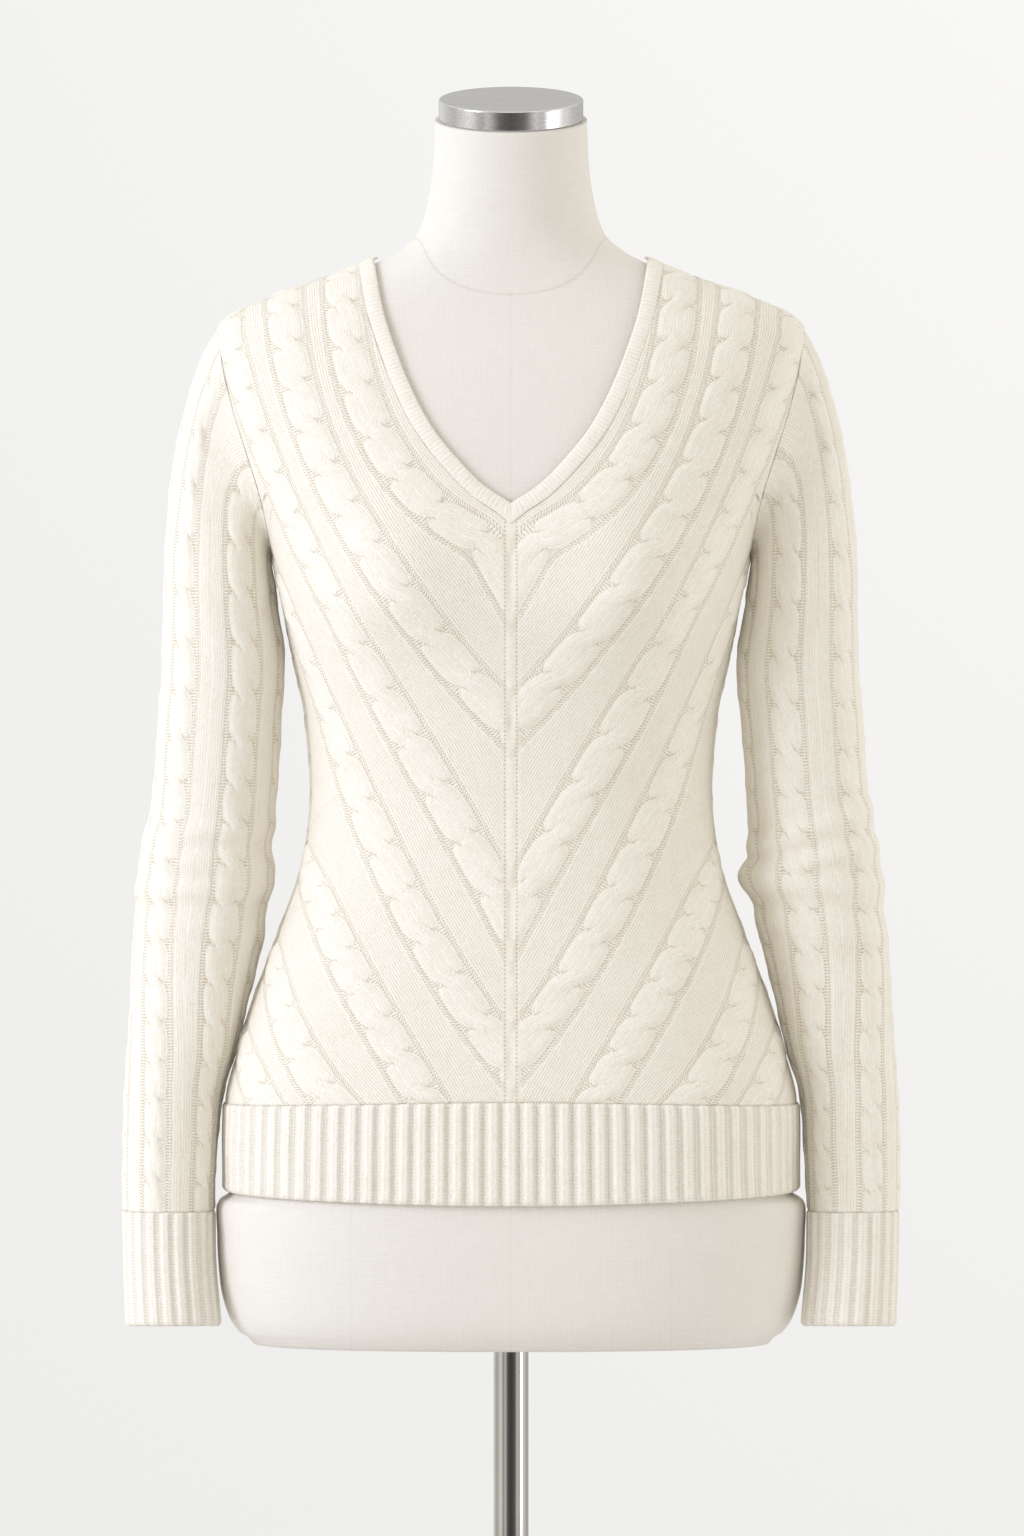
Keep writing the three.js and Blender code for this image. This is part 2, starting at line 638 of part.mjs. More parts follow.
// The outline of half a panel: down the middle, along the hem, up the side seam, round the armhole, along the
// shoulder seam and back along the neckline. seam gives the side edge's distance from the panel's middle.
function panelSections({ neck, seam, lowAt, armhole }) {
  const sideLow = lowAt(seam(HEM.top));
  const bottomCount = Math.round(seam(sideLow) / GRID.edge);
  const hole = range(ARMHOLE.stations - 1).map((i) => armhole(Math.PI * (1 - (i + 1) / ARMHOLE.stations)));
  const neckTop = neck.at(-1)[1];
  return [
    edgeLine(neck[0][1], runAt(lowAt(0)), (height) => slide(height)),
    range(bottomCount + 1).map((i) => {
      const across = (seam(sideLow) * i) / bottomCount;
      return [across, runAt(lowAt(across))];
    }),
    edgeLine(runAt(sideLow), runAt(ARMHOLE.bottom), seam),
    [
      [seam(ARMHOLE.bottom), runAt(ARMHOLE.bottom)],
      ...hole,
      [seam(ARMHOLE.top), runAt(ARMHOLE.top)],
    ],
    edgeLine(runAt(ARMHOLE.top), neckTop, seam),
    neck.toReversed(),
  ];
}

function frontPanel(material) {
  const flatten = ({ arc, height }) => [arc + slide(height), runAt(height)];
  const neck = neckLine(NECKBAND.width + SLANT_SEAM).slice(0, NECKBAND.stations + 1).map(flatten);
  neck.at(-1)[0] -= SEAM / 2;
  const sections = panelSections({
    neck,
    seam: (height) => sideArc(height) + slide(height) - SEAM / 2,
    lowAt: (across) => hemTop(across, true) + SEAM,
    armhole: (turn) => flatten(armholePlace(turn, 0)),
  });
  return panel("front_panel", material, sections, {
    cables: FRONT_CABLES.map(frontCable),
    flatten,
    unflatten: ([across, run]) => ({ arc: across - slide(heightAt(run)), height: heightAt(run) }),
    shares: { crossing: [-1, -0.5, 0.5, 1], lobe: [-1, -0.5, 0.5, 1] },
    spine: SPINE_RISE,
  });
}

function backPanel(material) {
  const flatten = ({ arc, height }) => [ringAt(height).total - arc + slide(height), runAt(height)];
  const neck = neckLine(NECKBAND.width + SLANT_SEAM).slice(NECKBAND.stations).map(flatten).toReversed();
  neck.at(-1)[0] -= SEAM / 2;
  const fromMiddle = (height) => ringAt(height).total - sideArc(height);
  const sections = panelSections({
    neck,
    seam: (height) => fromMiddle(height) + slide(height) - SEAM / 2,
    lowAt: () => HEM.top + SEAM,
    armhole: (turn) => flatten(armholePlace(-turn, 0)),
  });
  return panel("back_panel", material, sections, {
    cables: range(Math.ceil(fromMiddle(HEM.top) / BACK_PITCH)).map((i) => backCable(i * BACK_PITCH)),
    flatten,
    unflatten: ([across, run]) => {
      const height = heightAt(run);
      return { arc: ringAt(height).total - across + slide(height), height };
    },
    shares: { crossing: [-1, 0, 1], lobe: [-1, -0.45, 0.45, 1] },
  });
}

// ---- Hem, cuffs and neckband ----
// Where a rib's three points lie in one repeat, and how far each stands out.
const RIB = named("at out", [
  [0, 0],
  [0.3, 1],
  [0.72, 1],
]);

function ribRing(ribs, rise, pointAt) {
  return range(ribs).flatMap((i) =>
    RIB.map(({ at, out }) => {
      const share = (i + at) / ribs;
      return { point: pointAt(share, WALL + out * rise), at: share };
    }),
  );
}

function hemBand(material) {
  const edges = [{ height: hemBottom }, { height: hemTop }];
  const pointOn = (heightOf) => (share, out) => {
    const turn = share <= 0.5 ? share : 1 - share;
    const level = (HEM.bottom + HEM.top) / 2;
    const arc = ringAt(level).total * turn * 2;
    const front = arc < sideArc(level);
    const height = heightOf(arc, front);
    const scaled = (arc / ringAt(level).total) * ringAt(height).total;
    return offsetPoint(share <= 0.5 ? scaled : -scaled, height, out);
  };
  const outer = edges.map(({ height }) => ribRing(HEM.ribs, HEM.rise, pointOn(height)));
  const innerCount = HEM.ribs / 2;
  const inner = edges.map(({ height }) =>
    range(innerCount).map((i) => ({ point: pointOn(height)(i / innerCount, 0), at: i / innerCount })),
  );
  return tubeWall("hem_band", material, outer, inner);
}

function neckband(material) {
  const widths = [0, 0.5, 1];
  const lines = widths.map((share) => neckLine(share * NECKBAND.width));
  const shell = new Shell();
  const section = (i, side) => {
    const at = (line, out) => {
      const { arc, height } = lines[line][i];
      const point = offsetPoint(arc, height, out);
      const middle = i === 0 || i === lines[0].length - 1;
      point.x = middle ? 0 : point.x * side;
      return shell.add(point);
    };
    const crown = WALL + NECKBAND.crown;
    const { innerEdge, outerEdge } = NECKBAND;
    return [at(0, 0), at(0, crown * innerEdge), at(1, crown), at(2, crown * outerEdge), at(2, 0), at(1, 0)];
  };
  const last = lines[0].length - 1;
  const loop = [
    ...range(last + 1).map((i) => section(i, 1)),
    ...range(last - 1).map((i) => section(last - 1 - i, -1)),
  ];
  loop.forEach((now, i) => {
    const next = loop[(i + 1) % loop.length];
    now.forEach((_, k) => {
      const m = (k + 1) % now.length;
      shell.quad(now[k], next[k], next[m], now[m]);
    });
  });
  return shell.mesh("neckband", material);
}

// ---- Sleeves ----
const arm = curvesOf(ARM, "height", ["x", "y", "half", "depth"]);

// A ridge all round the sleeve where the cloth has crumpled.
function foldOut(folds, turn, height) {
  return folds.reduce((sum, fold) => {
    const middle = fold.height - fold.drop * Math.cos(turn);
    const near = 0.5 + 0.5 * Math.cos(turn - radians(fold.turn));
    return sum + fold.out * mix(FOLD_LEAST, 1, near) * Math.exp(-(((height - middle) / fold.width) ** 2));
  }, 0);
}

// A point of the hanging part's inside: turn is 0 outside, 90 in front and 180 against the body.
function armPoint(turn, height, folds) {
  const more = foldOut(folds, turn, height) - WALL;
  const x = arm.x(height) + (arm.half(height) + more) * Math.cos(turn);
  const y = arm.y(height) - (arm.depth(height) + more) * Math.sin(turn);
  return vec(x, y, FORM_BASE + height);
}

// A point of the sleeve's inside. Stations 0 to 1 are the head, from the armhole, and from 1 they go down the
// hanging part, one for each STATION of its length.
function sleevePoint(turn, station, folds) {
  const hang = SLEEVE.join - (station - 1) * STATION;
  if (station >= 1) return armPoint(turn, hang, folds);
  const at = (inset) => {
    const { arc, height } = armholePlace(turn, inset);
    return surface(arc, height);
  };
  const start = at(LEAVE.gap);
  const end = armPoint(turn, SLEEVE.join, folds);
  const reach = start.distanceTo(end);
  const above = 0.5 + 0.5 * Math.cos(turn);
  const leave = at(LEAVE.gap + LEAVE.span).sub(start).normalize().multiplyScalar(LEAVE.into);
  leave.add(vec(LEAVE.out, 0, -LEAVE.down * above)).normalize();
  leave.multiplyScalar(reach * LEAVE.pull + LEAVE.least);
  const arrive = vec(-ARRIVE_LEAN, 0, -1).multiplyScalar(reach * LEAVE.pull);
  const t = Math.max(station, 0);
  const a = 2 * t ** 3 - 3 * t ** 2 + 1;
  const b = t ** 3 - 2 * t ** 2 + t;
  const c = t ** 3 - t ** 2;
  start.multiplyScalar(a).addScaledVector(end, 1 - a);
  return start.addScaledVector(leave, b).addScaledVector(arrive, c);
}

// The sleeve's inside moved out along its own normal, which is the body's at the armhole.
function sleeveOffset(turn, station, out, folds) {
  const [small, step] = [0.01, 0.01];
  const point = sleevePoint(turn, station, folds);
  const around = sleevePoint(turn + small, station, folds).sub(sleevePoint(turn - small, station, folds));
  const before = sleevePoint(turn, Math.max(station - step, 0), folds);
  const along = sleevePoint(turn, station + step, folds).sub(before);
  const normal = around.cross(along).normalize();
  if (station < LEAVE.blend) {
    const { arc, height } = armholePlace(turn, LEAVE.gap);
    const share = station / LEAVE.blend;
    normal.multiplyScalar(share).addScaledVector(surfaceFrame(arc, height).normal, 1 - share).normalize();
  }
  return point.addScaledVector(normal, out);
}

function sleeve(name, material, { side, turn: firstTurn }, folds) {
  const pitch = (2 * Math.PI) / SLEEVE.cables;
  const halfWidth = (pitch * SLEEVE.share) / 2;
  const lastStation = 1 + (SLEEVE.join - SLEEVE.cuffTop - SLANT_SEAM) / STATION;
  const hangRows = Math.round(((lastStation - 1) * STATION) / (SLEEVE.lobe / 2));
  const stations = [
    ...range(SLEEVE.head).map((i) => i / SLEEVE.head),
    ...range(hangRows + 1).map((i) => mix(1, lastStation, i / hangRows)),
  ];
  const pointAt = (station, turn, out) => {
    const point = sleeveOffset(turn + radians(firstTurn), station, out, folds);
    point.x *= side;
    return point;
  };
  const profile = (lobe) => [
    { turn: -halfWidth, rise: 0 },
    { turn: lobe ? 0 : halfWidth * CROSSING.at, rise: SLEEVE.rise * (lobe ? 1 : CROSSING.rise) },
    { turn: halfWidth, rise: 0 },
    { turn: pitch / 2, rise: CROSSING.band },
  ];
  // The cables grow from nothing at the armhole, where the sleeve turns under the arm.
  const grown = (turn, station) => {
    const from = sleevePoint(turn + radians(firstTurn), 0, folds);
    return clamp(sleevePoint(turn + radians(firstTurn), station, folds).distanceTo(from) / SLEEVE.grow, 0, 1);
  };
  const outer = stations.map((station, row) =>
    range(SLEEVE.cables).flatMap((k) =>
      profile(row % 2 === 1).map(({ turn, rise }) => {
        const local = turn + k * pitch;
        const out = WALL + rise * grown(local, station);
        return { point: pointAt(station, local, out), at: local / (2 * Math.PI) };
      }),
    ),
  );
  const inner = stations
    .filter((_, row) => row % 2 === 0 || row === stations.length - 1)
    .map((station) =>
      range(SLEEVE.cables * 2).map((k) => {
        const local = (k * pitch) / 2 - halfWidth;
        return { point: pointAt(station, local, 0), at: local / (2 * Math.PI) };
      }),
    );
  return tubeWall(name, material, outer, inner);
}

function cuff(name, material, { side, turn: firstTurn }) {
  const levels = [SLEEVE.cuffTop, CUFF.bottom];
  const pointOn = (height) => (share, out) => {
    const turn = share * 2 * Math.PI + radians(firstTurn);
    const forward = (arm.depth(height) - WALL) * Math.sin(turn);
    const point = sleeveOffset(turn, 1 + (SLEEVE.join - height) / STATION, out, []);
    if (height === CUFF.bottom) point.z += CUFF.tilt * forward;
    point.x *= side;
    return point;
  };
  const outer = levels.map((height) => ribRing(CUFF.ribs, CUFF.rise, pointOn(height)));
  const inner = levels.map((height) =>
    range(CUFF.ribs).map((i) => ({ point: pointOn(height)(i / CUFF.ribs, 0), at: i / CUFF.ribs })),
  );
  return tubeWall(name, material, outer, inner);
}

// ---- The dress form and its stand ----
const FORM_SIDES = 26;
const NECK_TILT_FROM = 700; // the form's top leans forward with the neck from this height up
const FORM_RINGS = [...TORSO.map(({ height }) => height), 676, 686, 695, 756].sort((a, b) => a - b);

function dressForm(material) {
  const shell = new Shell();
  const top = TORSO.at(-1).height;
  const loop = FORM_RINGS.map((height) => {
    const { total } = ringAt(height);
    const leaning = clamp((height - NECK_TILT_FROM) / (top - NECK_TILT_FROM), 0, 1);
    const tilt = Math.tan(radians(CAP.tilt)) * leaning ** 2;
    const middle = (torso.back(height) - torso.front(height)) / 2;
    return range(FORM_SIDES).map((i) => {
      const arc = (total * 2 * i) / FORM_SIDES;
      const point = offsetPoint(arc <= total ? arc : arc - 2 * total, clamp(height, 1, top - 1), -EASE);
      if (height === 0 || height === top) point.z = FORM_BASE + height;
      point.z += (point.y - middle) * tilt;
      return shell.add(point);
    });
  });
  const ends = [loop[0], loop.at(-1)].map((ids) => {
    const middle = ids.reduce((sum, id) => sum.add(shell.points[id]), vec(0, 0, 0)).divideScalar(ids.length);
    return shell.add(middle);
  });
  range(FORM_SIDES).forEach((i) => {
    const j = (i + 1) % FORM_SIDES;
    range(loop.length - 1).forEach((k) => shell.quad(loop[k][i], loop[k][j], loop[k + 1][j], loop[k + 1][i]));
    shell.faces.push([loop[0][j], loop[0][i], ends[0]]);
    shell.faces.push([loop.at(-1)[i], loop.at(-1)[j], ends[1]]);
  });
  return shell.mesh("dress_form", material);
}

// A turned solid from its profile of [radius, height] points, standing upright.
function turned(name, material, profile, sides) {
  const points = profile.map(([radius, height]) => new THREE.Vector2(radius, height));
  const geometry = new THREE.LatheGeometry(points, sides);
  geometry.rotateX(Math.PI / 2);
  const mesh = new THREE.Mesh(geometry, material);
  mesh.name = name;
  return mesh;
}

function neckCap(material) {
  const { radius, thick, edge, tilt } = CAP;
  const top = TORSO.at(-1).height;
  const profile = [[0, 0], [radius, 0], [radius, thick - edge], [radius - edge, thick], [0, thick]];
  const cap = turned("neck_cap", material, profile, CAP.sides);
  const middle = (torso.back(top) - torso.front(top)) / 2;
  cap.rotation.x = radians(tilt);
  cap.position.set(0, middle, FORM_BASE + top + SEAM);
  return cap;
}

function stand(group, material) {
  const { radius, thick, edge, collarRadius, collarHeight, sides } = BASE;
  const plate = [[0, 0], [radius, 0], [radius, thick - edge], [radius - edge, thick], [0, thick]];
  group.add(turned("base_plate", material, plate, sides));
  const bore = POLE.radius + SEAM;
  const low = thick + SEAM;
  const collar = [
    [bore, low],
    [collarRadius, low],
    [collarRadius, low + collarHeight - edge],
    [collarRadius - edge, low + collarHeight],
    [bore, low + collarHeight],
    [bore, low],
  ];
  group.add(turned("base_collar", material, collar, POLE.sides));
  const pole = [[0, low], [POLE.radius, low], [POLE.radius, FORM_BASE - SEAM], [0, FORM_BASE - SEAM]];
  group.add(turned("pole", material, pole, POLE.sides));
}

// ---- The object ----
const wool = new THREE.MeshStandardMaterial({ color: 0xf4eedd, roughness: 0.95, metalness: 0 });
const ribWool = new THREE.MeshStandardMaterial({ color: 0xf1ead6, roughness: 0.95, metalness: 0 });
const linen = new THREE.MeshStandardMaterial({ color: 0xeae3d6, roughness: 0.9, metalness: 0 });
const steel = new THREE.MeshStandardMaterial({ color: 0xb4b1ac, roughness: 0.28, metalness: 1 });

const group = new THREE.Group();
group.add(dressForm(linen), neckCap(steel));
stand(group, steel);
group.add(frontPanel(wool), backPanel(wool), hemBand(ribWool), neckband(ribWool));
for (const [word, shape] of Object.entries(ARMS)) {
  group.add(sleeve(`sleeve_${word}`, wool, shape, FOLDS[word]), cuff(`cuff_${word}`, ribWool, shape));
}

export default group;
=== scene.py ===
import math

import bmesh
import bpy
import numpy as np
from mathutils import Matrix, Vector


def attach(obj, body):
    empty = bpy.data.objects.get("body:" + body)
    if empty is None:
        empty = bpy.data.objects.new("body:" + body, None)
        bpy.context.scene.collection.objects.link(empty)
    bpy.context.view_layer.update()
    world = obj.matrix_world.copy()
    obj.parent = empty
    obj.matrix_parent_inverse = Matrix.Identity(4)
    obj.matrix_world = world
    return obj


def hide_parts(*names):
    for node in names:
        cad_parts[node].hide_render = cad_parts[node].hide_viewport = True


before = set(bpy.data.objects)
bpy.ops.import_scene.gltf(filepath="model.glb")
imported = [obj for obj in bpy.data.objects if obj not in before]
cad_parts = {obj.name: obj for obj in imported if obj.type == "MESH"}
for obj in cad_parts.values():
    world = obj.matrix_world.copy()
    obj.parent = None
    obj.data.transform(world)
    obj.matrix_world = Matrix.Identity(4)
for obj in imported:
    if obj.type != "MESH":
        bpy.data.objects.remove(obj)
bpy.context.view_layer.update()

# ---- Driving sizes, as in the part ----
MM = 0.001
FORM_BASE = 700  # the form's underside above the floor
WALL = 2
EASE = 2  # between the form and the cloth
SEAM = 0.3  # between the parts of the stand; the sewn seams are closed up here
HEM = {"bottom": 96, "top": 151, "dip": 4, "lift": 5, "fade": 60, "ribs": 88, "rise": 1.7, "period": 10.6}
NECKBAND = {"width": 10, "crown": 0.8, "stations": 60, "back": 36, "lines": 11}
NECK_RIB = {"pitch": 3.6, "columns": 8, "rise": 0.2, "mitre": 0.35, "mitre_half": 1.1}
# Place in the band's width, half width and height of its rolled inside edge and of the groove at its seam.
NECK_ROLL, NECK_GROOVE = (0.09, 0.06, 0.35), (0.9, 0.05, -0.05)
ARMHOLE = {"bottom": 497, "top": 641, "front": 31, "back": 46, "skew": 0.16}
BACK_PITCH = 42  # between the back's cables
BACK_CROSSING = 30  # from one crossing to the next along them
SLEEVE = {"cables": 6, "join": 468, "cuff_top": 84, "grow": 25}
# How a sleeve's head leaves its armhole, and comes to hang.
LEAVE = {"gap": 0.5, "into": 0.6, "span": 5, "down": 0.7, "out": 0.5}
LEAVE.update({"pull": 0.75, "least": 12, "blend": 0.12})
ARRIVE_LEAN = 0.02
STATION = 100  # millimetres of hanging sleeve to one station
CUFF = {"ribs": 20, "rise": 1.2, "bottom": 12, "tilt": 0.07, "period": 8.6}
CAP = {"radius": 45.4, "thick": 12.6, "edge": 0.9, "tilt": 12}
POLE = {"radius": 11}
BASE = {"radius": 172, "thick": 8, "edge": 1.5, "collar": 17, "collar_height": 26}
BACK_NECK_DROP = 20
BACK_NECK_FALL = 0.85
MITRE = 1.35
NECK_SPREAD = {"front": 1.15, "back": 0.9}
BUST = {"x": 82, "height": 478, "reach": 17, "across": 46, "above": 62, "below": 40}
FOLD_LEAST = 0.25

# ---- Sizes of the finer forms ----
CABLE_HALF = 11.2  # half a cable's width on the panels
SLEEVE_CABLE_HALF = 9.8
GUTTER = {"wide": 4.1, "deep": 0.15, "band": 0.1}  # purl stitches beside a cable
# A strand of a cable: how far it swings and half its width, in half cable widths, and how sharply it crosses
# above and below. Then its height, its roundness, its rise at a crossing and the reach of that rise.
STRAND = {
    "swing": 0.4, "reach": 0.6, "over": 1.5, "under": 4.5,
    "thick": 1.25, "roll": 3.0, "lift": 0.5, "shoulder": 4,
    "edge_share": 0.74, "crown_share": 0.26,  # of its height, what its edge and what its middle gives
}
CREASE = {"deep": 0.5, "width": 0.8, "reach": 0.15}
# A cable's line: its points, and how far it is carried on past its end, in a bend first.
LINE = {"points": 161, "step": 1.5, "beyond": 90, "bend": 26}
PAST_END = {"band": 12, "cable": 9}  # how far off a line's ends its band and its own zone still reach
FAR = 1e3
SPINE = {"half": 1.9, "rise": 0.3, "groove": 3.7, "groove_half": 0.8, "deep": 0.08, "pitch": 2.6}
RIPPLE = 0.35  # soft unevenness of the panels
AWAY = {"edge": 8, "outline": -6, "crease": 6}  # what the distances say where nothing is near
FRONT_STEP = 1.75
BACK_STEP = 2.0
EDGE_REACH = 4.0  # how far an edge may move between two rows
INNER_EVERY = 6  # rows and columns of the outer side to one of the inner side
INNER_OUT, RIB_INNER_OUT = 0.15, 0.2  # from the body's surface to a wall's inner side
LEAST_GAP = 0.06  # between two rows
LEAST_WIDTH = 0.8  # of a row
SIDE_FADE, HEM_FADE = (0.35, 7), (0.1, 3)  # how much relief is left at a seam, and how far the loss reaches
# A ribbed tube's ends: where its ribs flatten and to what share, the ridge at its seam and its rolled edge.
RIB_ENDS = {"edge": 2.2, "seam": 1.5, "least": 0.35}
RIB_ENDS.update({"ridge": 0.3, "ridge_width": 1.3, "roll": 0.9, "roll_width": 1.6})
SLEEVE_GRID = {"head": 96, "columns": 176, "step": 1.7}
SLEEVE_GRID.update({"inner_head": 16, "inner_hang": 40, "inner_columns": 28})
CABLE_SHARE = 0.24  # the most that half a cable takes of a sleeve's mean radius


def table(columns, rows):
    return [dict(zip(columns.split(), row)) for row in rows]


TORSO = table(
    "height half front back side square",
    [
        (0, 161, 98, 104, 0, 2.5),
        (5, 172, 104, 110, 0, 2.5),
        (18, 180.5, 110, 116, 0, 2.5),
        (38, 185.5, 113, 120, 0, 2.5),
        (68, 187.3, 115, 122, 0, 2.5),
        (86, 184, 115, 122, 0, 2.5),
        (98, 178.5, 115, 121, 0, 2.5),
        (150, 178, 114, 117, 0, 2.5),
        (185, 170, 111, 112, 0, 2.45),
        (216, 160, 108, 107, 0, 2.4),
        (260, 144, 102, 98, 0, 2.35),
        (305, 129, 96, 89, 0, 2.3),
        (350, 124, 91, 82, 0, 2.3),
        (396, 127.5, 93, 84, 0, 2.3),
        (430, 135, 98, 88, 1, 2.3),
        (468, 143.2, 104, 92, 2, 2.35),
        (497, 149, 103, 95, 3, 2.4),
        (530, 158, 98, 97, 4, 2.4),
        (560, 169, 92, 98, 6, 2.35),
        (590, 178.5, 84, 97, 8, 2.3),
        (618, 184, 74, 92, 9, 2.15),
        (634, 184.5, 66, 87, 10, 2.05),
        (644, 178, 61, 82, 10, 2),
        (650, 168, 58.5, 78.5, 10, 2),
        (657, 151.5, 56, 74.5, 9, 2),
        (664, 133, 54, 70, 8, 2),
        (672, 109, 52.5, 65, 7, 2),
        (680, 90, 51.5, 61, 6, 2),
        (690, 71, 51.5, 58, 4, 2),
        (700, 60.5, 52, 54, 1, 2),
        (716, 55, 54, 49, -3, 2),
        (742, 51, 58, 42.5, -9, 2),
        (770, 49.7, 62, 36, -13, 2),
    ],
)
NECKLINE = table(
    "height x",
    [(529, 0), (540, 17), (556, 33), (576, 49), (598, 61), (622, 71), (650, 80), (683, 86)],
)
# first is the distance from the top to the first crossing, then the pitch at the top and at the end.
FRONT_CABLES = table(
    "topX topHeight topLean endX endHeight endLean pastLean pastRate first pitch endPitch",
    [
        (105, 672, -1, 28, 511.5, 62, 30, 0.4, 39.1, 29, 33.7),
        (142, 662, 2, 0, 391, 44, 44, 1, 40.4, 25, 38),
        (180, 645, 13, 0, 268, 27, 27, 1, 42.5, 26.5, 37.5),
        (152, 500, 21, 0, 181, 40, 40, 1, 163, 32, 31.5),
        (138, 410, -12, 49, 150, 30, 30, 1, 188, 24, 26),
        (141, 300, -26, 105, 150, 44, 44, 1, 134.6, 35.5, 29),
        (170, 232, -12, 151, 150, 33, 33, 1, 6, 28, 28),
    ],
)
ARM = table(
    "height x y half depth",
    [
        (468, 183.5, 3, 34.5, 44),
        (426, 181.5, 4, 38, 44),
        (396, 183.5, 5, 38, 43.5),
        (366, 185.5, 6, 38, 43),
        (336, 188, 7, 38.5, 42.5),
        (306, 192, 7, 40, 42.5),
        (290, 193, 7, 42, 43),
        (276, 195, 6, 40, 42),
        (246, 199, 3, 39, 40),
        (216, 203.2, -2, 36, 37.5),
        (186, 207.4, -7, 33, 35),
        (156, 212.6, -12, 29.8, 32.5),
        (126, 214.4, -17, 29, 31),
        (96, 215.2, -21, 28.3, 30),
        (60, 214.8, -26, 28, 29),
        (12, 212, -32, 29, 29.5),
    ],
)
FOLDS = {
    "left": table(
        "height out width drop turn",
        [(324, 3.6, 7, -12, 90), (305, 4.0, 6, -8, 120), (289, 5.0, 8, 2, 170), (262, 2.2, 9, 4, 110)],
    ),
    "right": table(
        "height out width drop turn",
        [(322, 2.2, 6, 4, 60), (303, 2.4, 7, -3, 90), (286, 2.1, 6, 2, 70), (262, 1.6, 8, -4, 120)],
    ),
}
# turn is where the first cable lies, in degrees, and first where it crosses, in millimetres below the join.
ARMS = {"left": {"side": 1, "turn": 43, "first": 3}, "right": {"side": -1, "turn": 50, "first": 27}}
# How far each cable of a sleeve is turned from an even spread, at the elbow and at the cuff.
DRIFT = np.array([(0, 22), (4, 31), (4, 24), (2, 14), (0, 8), (0, 14)])
DRIFT_BETWEEN = (120, 262)  # heights
# How many crossings lie between the join and a place that far down.
CROSSINGS = table("down count", [(-230, -6.97), (90, 2.73), (170, 5.8), (400, 14.9)])


# ---- Small tools ----
def mix(a, b, t):
    return a + (b - a) * t


def smooth(low, high, value):
    t = np.clip((value - low) / (high - low), 0, 1)
    return t * t * (3 - 2 * t)


def hermite(t):
    return 2 * t**3 - 3 * t**2 + 1, t**3 - 2 * t**2 + t, t**3 - t**2


def unit(v):
    return v / np.maximum(np.linalg.norm(v, axis=-1, keepdims=True), 1e-9)


def dot(a, b):
    return (a * b).sum(-1)


def distances(points):
    """How far each point lies along the first axis of a line or grid."""
    steps = np.linalg.norm(np.diff(points, axis=0), axis=-1)
    return np.concatenate([0 * steps[:1], np.cumsum(steps, 0)])


def bell(distance, width):
    return np.exp(-((distance / width) ** 2))


def curve_of(rows, at, value):
    """A smooth curve through a table's rows that never overshoots them."""
    rising = sorted(rows, key=lambda row: row[at])
    x = np.array([row[at] for row in rising], float)
    y = np.array([row[value] for row in rising], float)
    slope = np.diff(y) / np.diff(x)
    tangent = np.zeros(len(y))
    tangent[0], tangent[-1] = slope[0], slope[-1]
    for i in range(1, len(y) - 1):
        if slope[i - 1] * slope[i] > 0:
            before, after = x[i] - x[i - 1], x[i + 1] - x[i]
            weights = (2 * after + before) / slope[i - 1] + (after + 2 * before) / slope[i]
            tangent[i] = 3 * (before + after) / weights

    def at_value(q):
        q = np.asarray(q, float)
        i = np.clip(np.searchsorted(x, q, side="right") - 1, 0, len(x) - 2)
        span = x[i + 1] - x[i]
        a, b, c = hermite(np.clip((q - x[i]) / span, 0, 1))
        return a * y[i] + b * span * tangent[i] + (1 - a) * y[i + 1] + c * span * tangent[i + 1]

    return at_value


def waves(points, low, high, count, seed):
    """Soft random hills between -1 and 1 or so, with wavelengths from low to high millimetres."""
    rng = np.random.default_rng(seed)
    total = np.zeros(points.shape[:-1])
    for _ in range(count):
        way = unit(rng.normal(size=3)) * 2 * math.pi / rng.uniform(low, high)
        total += np.sin(points @ way + rng.uniform(0, 2 * math.pi))
    return total / math.sqrt(count)


# ---- The body's surface ----
torso = {name: curve_of(TORSO, "height", name) for name in ("half", "front", "back", "side", "square")}


def body_point(turn, height):
    """A point of the cloth's inside: turn is -90 degrees at the front's middle and 90 at the back's."""
    turn, height = np.broadcast_arrays(np.asarray(turn, float), np.asarray(height, float))
    power = 2 / torso["square"](height)
    c, s = np.cos(turn), np.sin(turn)
    side = torso["side"](height)
    reach = np.where(s < 0, torso["front"](height) + side, torso["back"](height) - side)
    x = torso["half"](height) * np.maximum(c, 0) ** power
    y = side + reach * np.sign(s) * np.abs(s) ** power
    spread = np.where(height > BUST["height"], BUST["above"], BUST["below"])
    bust = BUST["reach"] * bell(x - BUST["x"], BUST["across"]) * bell(height - BUST["height"], spread)
    y = np.where(s < 0, y - bust * np.abs(s) ** 0.5, y)
    return np.stack([x, y, FORM_BASE + height], -1)


LEVELS = np.arange(-8.0, 780.0)
TURNS = np.linspace(-math.pi / 2, math.pi / 2, 361)
RINGS = body_point(TURNS[None], LEVELS[:, None])
ALONG = distances(RINGS.swapaxes(0, 1)).T
SHARES = np.linspace(0, 1, 401)
TURN_AT = np.array([np.interp(SHARES * row[-1], row, TURNS) for row in ALONG])


def total_at(height):
    return np.interp(height, LEVELS, ALONG[:, -1])


def side_at(height):
    return np.interp(height, LEVELS, ALONG[:, len(TURNS) // 2])


def from_grid(grid, row, column):
    i = np.clip(np.floor(row).astype(int), 0, grid.shape[0] - 2)
    j = np.clip(np.floor(column).astype(int), 0, grid.shape[1] - 2)
    u, v = row - i, column - j
    low = mix(grid[i, j], grid[i, j + 1], v)
    return mix(low, mix(grid[i + 1, j], grid[i + 1, j + 1], v), u)


